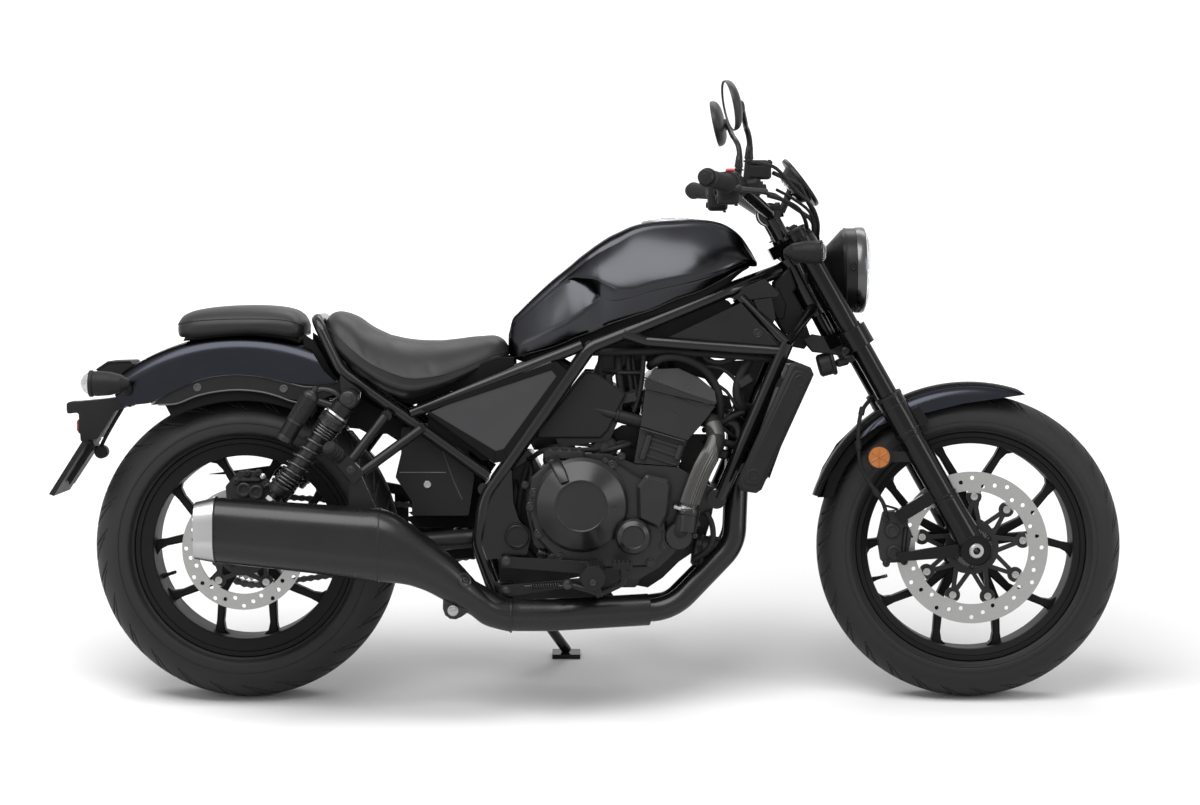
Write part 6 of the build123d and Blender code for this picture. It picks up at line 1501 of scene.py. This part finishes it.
# black surround of the side panels: outer and inner corners
border = Batch()
depth = seen("side_panels", 500, 405).y
SURROUND = [((421, 409), (429, 411)), ((556, 361), (551.5, 370)), ((571, 374), (556.5, 376)),
            ((508, 461), (503.5, 449)), ((494, 463), (495.7, 451)), ((421, 409), (429, 411))]
for (outer_a, inner_a), (outer_b, inner_b) in zip(SURROUND, SURROUND[1:]):
    border.trace((outer_a, outer_b, inner_b, inner_a), depth, depth - 2.5, depth + 4, 0.8)
border.mirror().make("side_panel_surround", "chassis", "tray_black")

# right-hand plates behind the frame's cover, below the pivot and over the gearbox, then the
# coil holder, loom tray and water housing: depth, reach out and in from it, chamfer, outline
inner = Batch()
for depth, out, back, soft, outline in (
        (-62, 4, 6, 1.5, ((511.6, 471), (531.5, 457.5), (535, 480), (528, 515), (543, 545),
                          (543, 558), (499.4, 558), (516, 525))),
        (-66, 4, 4, 1.5, ((498, 555), (590, 562), (586, 576), (545, 584), (500, 592))),
        (-60, 4, 4, 1.5, ((508, 592), (548, 584), (600, 577), (614, 597), (512, 601))),
        (-48, 4, 4, 1.5, ((529, 424), (562, 424), (576, 448), (534, 450), (529, 440))),
        (-40, 4, 4, 1.5, ((682, 434), (716, 434), (716, 446), (703, 458), (695, 478), (687, 478),
                          (663, 468), (681, 462))),
        (-36, 6, 4, 2, ((637, 586), (648, 588), (663, 578), (679, 562), (703, 546), (711, 520),
                        (716, 494), (705, 473), (697, 520), (663, 559), (637, 562))),
        (-40, 4, 4, 1.5, ((612, 431), (622, 425), (640, 425), (640, 468), (616, 460), (622, 447),
                          (612, 441))),
        (-24, 4, 6, 1.5, ((647, 352), (703, 354), (717, 361), (753, 360), (766, 357), (757, 378),
                          (745, 415), (742, 420), (731, 420), (738, 395), (742, 379), (724, 372),
                          (716, 382), (720, 394), (729, 396), (733, 410), (724, 434), (710, 434),
                          (716, 394), (705, 379), (664, 366), (647, 366))),
        (-24, 4, 6, 1.5, ((598, 342), (650, 342), (650, 357), (641, 368), (637, 410), (627, 410),
                          (627, 394), (617, 392), (619, 379), (611, 369), (600, 366)))):
    inner.trace(outline, depth, depth - out, depth + back, soft)
inner.make("inner_plates", "chassis", "cast_black")
Batch().plate([(711.5, 689), (732, 688), (797, 643), (760, 567), (744, 551), (609, 551),
               (613, 567)], -112, -60, 4).mirror().make("airbox_sides", "chassis", "plastic")

# inner liner over the rear tyre: (y, radius) section of the rear one, swept round the axle; over
# the front tyre a flat dark plate, painted shade on the fender's underside
half = 99
section = [(-half, 308), (-half - 2, 310), (-half, 354), (-half * 0.7, 361), (0, 364),
           (half * 0.7, 361), (half, 354), (half + 2, 310), (half, 308), (half - 3, 311),
           (half - 4, 350), (half * 0.68, 356), (0, 359), (-half * 0.68, 356), (4 - half, 350),
           (3 - half, 311)]
Batch().skin([[REAR_HUB + swung(62 + 56 * step / 48) * r + Y * y for y, r in section]
              for step in range(49)]).make("rear_fender_liner", "chassis", "tray_black")
# painted shade: a near-black plate inside the front fender, where its underside falls dark
Batch().plate([(1197, 425), (1217, 480), (1247, 530), (1295, 577), (1345, 611), (1390, 631),
               (1392, 596), (1330, 566), (1285, 527), (1258, 490), (1240, 455), (1230, 425)],
              -64, -60, 1).mirror().make("front_fender_shade_plate", "steering", "tray_black")

# rear caliper: two bores, bridge bolts, a bleed screw and its hose joint
brake = Batch()
FACE = -110.0
for px, py in ((243.5, 490), (256, 492.5)):
    brake.cap([(16.5, -3), (15.5, 5), (12.5, 7), (8.5, 6.4), (7.5, 5), (0, 5)], at(px, py, FACE),
              -Y, 30)
for px, py in ((236, 481.5), (265, 484), (247, 473.5), (258, 473)):
    spot = at(px, py, FACE)
    brake.cap([(8, -6), (8, 3), (6.5, 4.5), (0, 4.5)], spot, -Y, 20)
    brake.bolt(spot - Y * 4, -Y, 5, 4)
brake.block(at(250, 480, FACE - 1), SQUARE, (46, 12, 12), 4)
brake.hose([at(264, 487, FACE - 8), at(268, 485, FACE - 10), at(273, 487, FACE - 4),
            at(279, 493, -100)], 4.6, 5, 10)
brake.make("rear_caliper_body", "chassis", "cast_black")
spot = at(262.5, 476.5, FACE - 4)
Batch().cap([(6.4, -3), (6.4, 2), (5, 3), (0, 3)], spot, -Y, 6).cap(
    [(3.4, 3), (3.4, 8), (2.2, 9), (0, 9)], spot, -Y, 14).make(
    "rear_caliper_screw", "chassis", "steel")

# radiator side covers with their raised faces
covers = Batch().trace([(790.6, 364.5), (796, 362), (811, 367.5), (814, 374.5), (811, 381.5),
                        (762, 490), (756.6, 493.6), (742, 491.5), (738, 485), (739.5, 478)],
                       -188, -190, -151, 7)
covers.trace([(793.5, 372), (798, 370), (808, 374), (809.5, 378), (807, 384), (761, 483),
              (756, 486), (746, 484.5), (743.5, 480), (745, 475)], -190, -192.5, -186, 2.5)
for px, py in ((800, 381), (753.5, 475)):
    covers.cap([(12, -2), (12, 0.6), (10.5, 1.6), (9, 1.6), (8, 0), (0, 0)], at(px, py, -192), -Y,
               30)
covers.mirror().make("radiator_covers", "chassis", "plastic", 40, ["radiator_shrouds"])

# covers on both sides of the steering head, and the horn between the fork legs
head = Batch().trace([(773.5, 282), (789, 267.5), (796, 287), (793, 292), (801, 305.5), (805, 321),
                      (811.5, 340), (804, 349), (793, 347), (786.5, 337), (773.5, 316)],
                     -34, -38, -28, 3)
head.trace([(764, 294), (778, 288), (786, 304), (784, 318), (778, 320)], -38, -42, -36, 2)
head.mirror().make("head_covers", "chassis", "plastic")
horn = Batch().trace([(801, 339), (812, 334), (846, 340), (849, 352), (842, 356), (830, 354),
                      (812, 352)], -40, -52, -30, 3)
horn.cap([(0, -26), (20, -26), (24, -22), (24, 0), (27, 3), (27, 8), (24, 10), (10, 10), (9, 8),
          (0, 8)], at(830, 363, -30), (0.9, 0, 0.25), 36)
horn.block(at(842, 362, -32), tilted(0.25 / 0.9), (26, 34, 16), 3)
horn.make("horn_body", "steering", "cast_black")

# front brake hose down the right leg, with its sleeves
route = [at(*p) for p in
         ((869.6, 400, -84), (862, 411, -96), (859, 425, -103), (858.5, 445, -106),
          (861, 465, -106), (868, 480, -104), (876.5, 492.4, -101), (884, 504, -99),
          (887, 516, -96))]
hose = Batch().hose(route, 4.4, 6, 12)
hose.hose([at(*p) for p in ((883, 505, -99), (894, 508, -97), (905, 512, -95), (914, 513, -93))],
          2.4, 6, 8)
for k in (1, 3, 6):
    hose.lathe([(4, -9), (6.4, -8), (6.4, 8), (4, 9)], route[k], route[k + 1] - route[k], 16)
hose.make("front_brake_hose", "steering", "rubber")

# front caliper: bores, bridge bolts and the arm over them
front_brake = Batch()
for px, py in ((893, 531), (895, 553)):
    front_brake.cap([(16.5, -3), (15.5, 4), (13, 6), (9, 5.4), (8, 4), (0, 4)],
                    at(px, py, -92.5), -Y, 30)
for px, py in ((886, 519), (905, 521), (905, 562), (887, 564)):
    spot = at(px, py, -92.5)
    front_brake.cap([(7.6, -5), (7.6, 3), (6, 4.6), (0, 4.6)], spot, -Y, 20)
    front_brake.bolt(spot - Y * 4, -Y, 5, 4)
front_brake.block(at(905, 542, -93.5), ((0.1, 0, 1), Y, (1, 0, -0.1)), (62, 8, 9), 3)
front_brake.make("front_caliper_body", "steering", "cast_black")

# cables over the yokes, from the switches and the throttle down behind the headlamp
cables = Batch()
for places, near, far, radius in (
        (((757.7, 163), (775.8, 169), (793.9, 189.4), (811, 206), (817.5, 223), (817, 239)), -300,
         -62, 3.6),
        (((767.6, 196), (784, 201), (799, 210), (806, 225), (807, 240)), -190, -64, 4.2),
        (((776, 190), (794, 200), (809.5, 213), (812.5, 232), (811, 244)), -160, -50, 3.2)):
    cables.hose([at(px, py, near + (far - near) * k / (len(places) - 1))
                 for k, (px, py) in enumerate(places)], radius, 6, 10)
cables.make("bar_cables", "steering", "rubber")

# ---- studio ----
LENS_MM, SENSOR_MM, PHOTO_WIDE = 85.4, 36.0, 1200
HORIZON_PX = 121.5      # height of the machine's eye level above the middle of the frame


def place(name, data):
    """A new object in the scene."""
    thing = bpy.data.objects.new(name, data)
    bpy.context.scene.collection.objects.link(thing)
    return thing


camera_data = bpy.data.cameras.new("camera")
camera_data.lens = LENS_MM
camera_data.sensor_width = SENSOR_MM
camera_data.clip_end = 100.0
camera = place("camera", camera_data)
camera.location = PARK @ CAMERA
camera_pitch = atan(HORIZON_PX / PHOTO_WIDE * SENSOR_MM / LENS_MM)
camera.rotation_euler = (radians(90) - LEAN - camera_pitch, 0, 0)
bpy.context.scene.camera = camera

FLOOR_HALF = 30.0
floor_mesh = bpy.data.meshes.new("floor")
floor_mesh.from_pydata([(FLOOR_HALF * i, FLOOR_HALF * j, 0)
                        for i, j in ((-1, -1), (1, -1), (1, 1), (-1, 1))], [], [(0, 1, 2, 3)])
floor = place("floor", floor_mesh)


def seen_rays(tree):
    """1 for rays from the camera, mirrors and glass."""
    path = node(tree, "LightPath", {}).outputs
    first = node(tree, "Math", {0: path["Is Camera Ray"], 1: path["Is Glossy Ray"]},
                 operation="MAXIMUM").outputs[0]
    return node(tree, "Math", {0: first, 1: path["Is Transmission Ray"]},
                operation="MAXIMUM").outputs[0]


# the lamps fade away from the machine, and the floor's glow makes up for it there
floor_material, tree, shader = new_material("floor")
away = node(tree, "VectorMath", {0: node(tree, "TexCoord", {}).outputs["Object"]},
            operation="LENGTH").outputs["Value"]
glow = node(tree, "Math", {0: seen_rays(tree), 1: ramp(tree, away, 1.3, 4.5, 0.0, 0.85)},
            operation="MULTIPLY").outputs[0]
feed(tree, shader, {"Base Color": (0.86, 0.86, 0.86, 1), "Roughness": 0.9,
                    "Specular IOR Level": 0.1, "Emission Color": (1, 1, 1, 1),
                    "Emission Strength": glow})
floor_mesh.materials.append(floor_material)

world = bpy.data.worlds.new("world")
bpy.context.scene.world = world
world.use_nodes = True
tree = world.node_tree
feed(tree, tree.nodes["Background"],
     {"Color": (1, 1, 1, 1), "Strength": ramp(tree, seen_rays(tree), 0, 1, 0.4, 1.0)})

LAMPS = [
    # place in metres, aim, width, height, watts
    ((-0.9, -1.25, 3.4), (-0.6, -0.5, 0.6), 3.8, 2.3, 158.0),
    ((0.6, 2.2, 3.2), (0.1, 0.0, 0.6), 3.0, 1.2, 40.0),
    ((2.9, -1.7, 1.75), (0.6, 0.0, 0.6), 0.8, 1.5, 20.0),
    ((-3.2, -2.2, 1.6), (-0.4, 0.0, 0.6), 1.6, 1.8, 16.0),
]
for index, (spot, aim, width, height, watts) in enumerate(LAMPS):
    lamp_data = bpy.data.lights.new("lamp%d" % index, "AREA")
    lamp_data.shape = "RECTANGLE"
    lamp_data.size = width
    lamp_data.size_y = height
    lamp_data.energy = watts
    lamp = place("lamp%d" % index, lamp_data)
    lamp.location = spot
    lamp.rotation_euler = (Vector(aim) - lamp.location).to_track_quat("-Z", "Y").to_euler()

bpy.context.scene.view_settings.view_transform = "Standard"
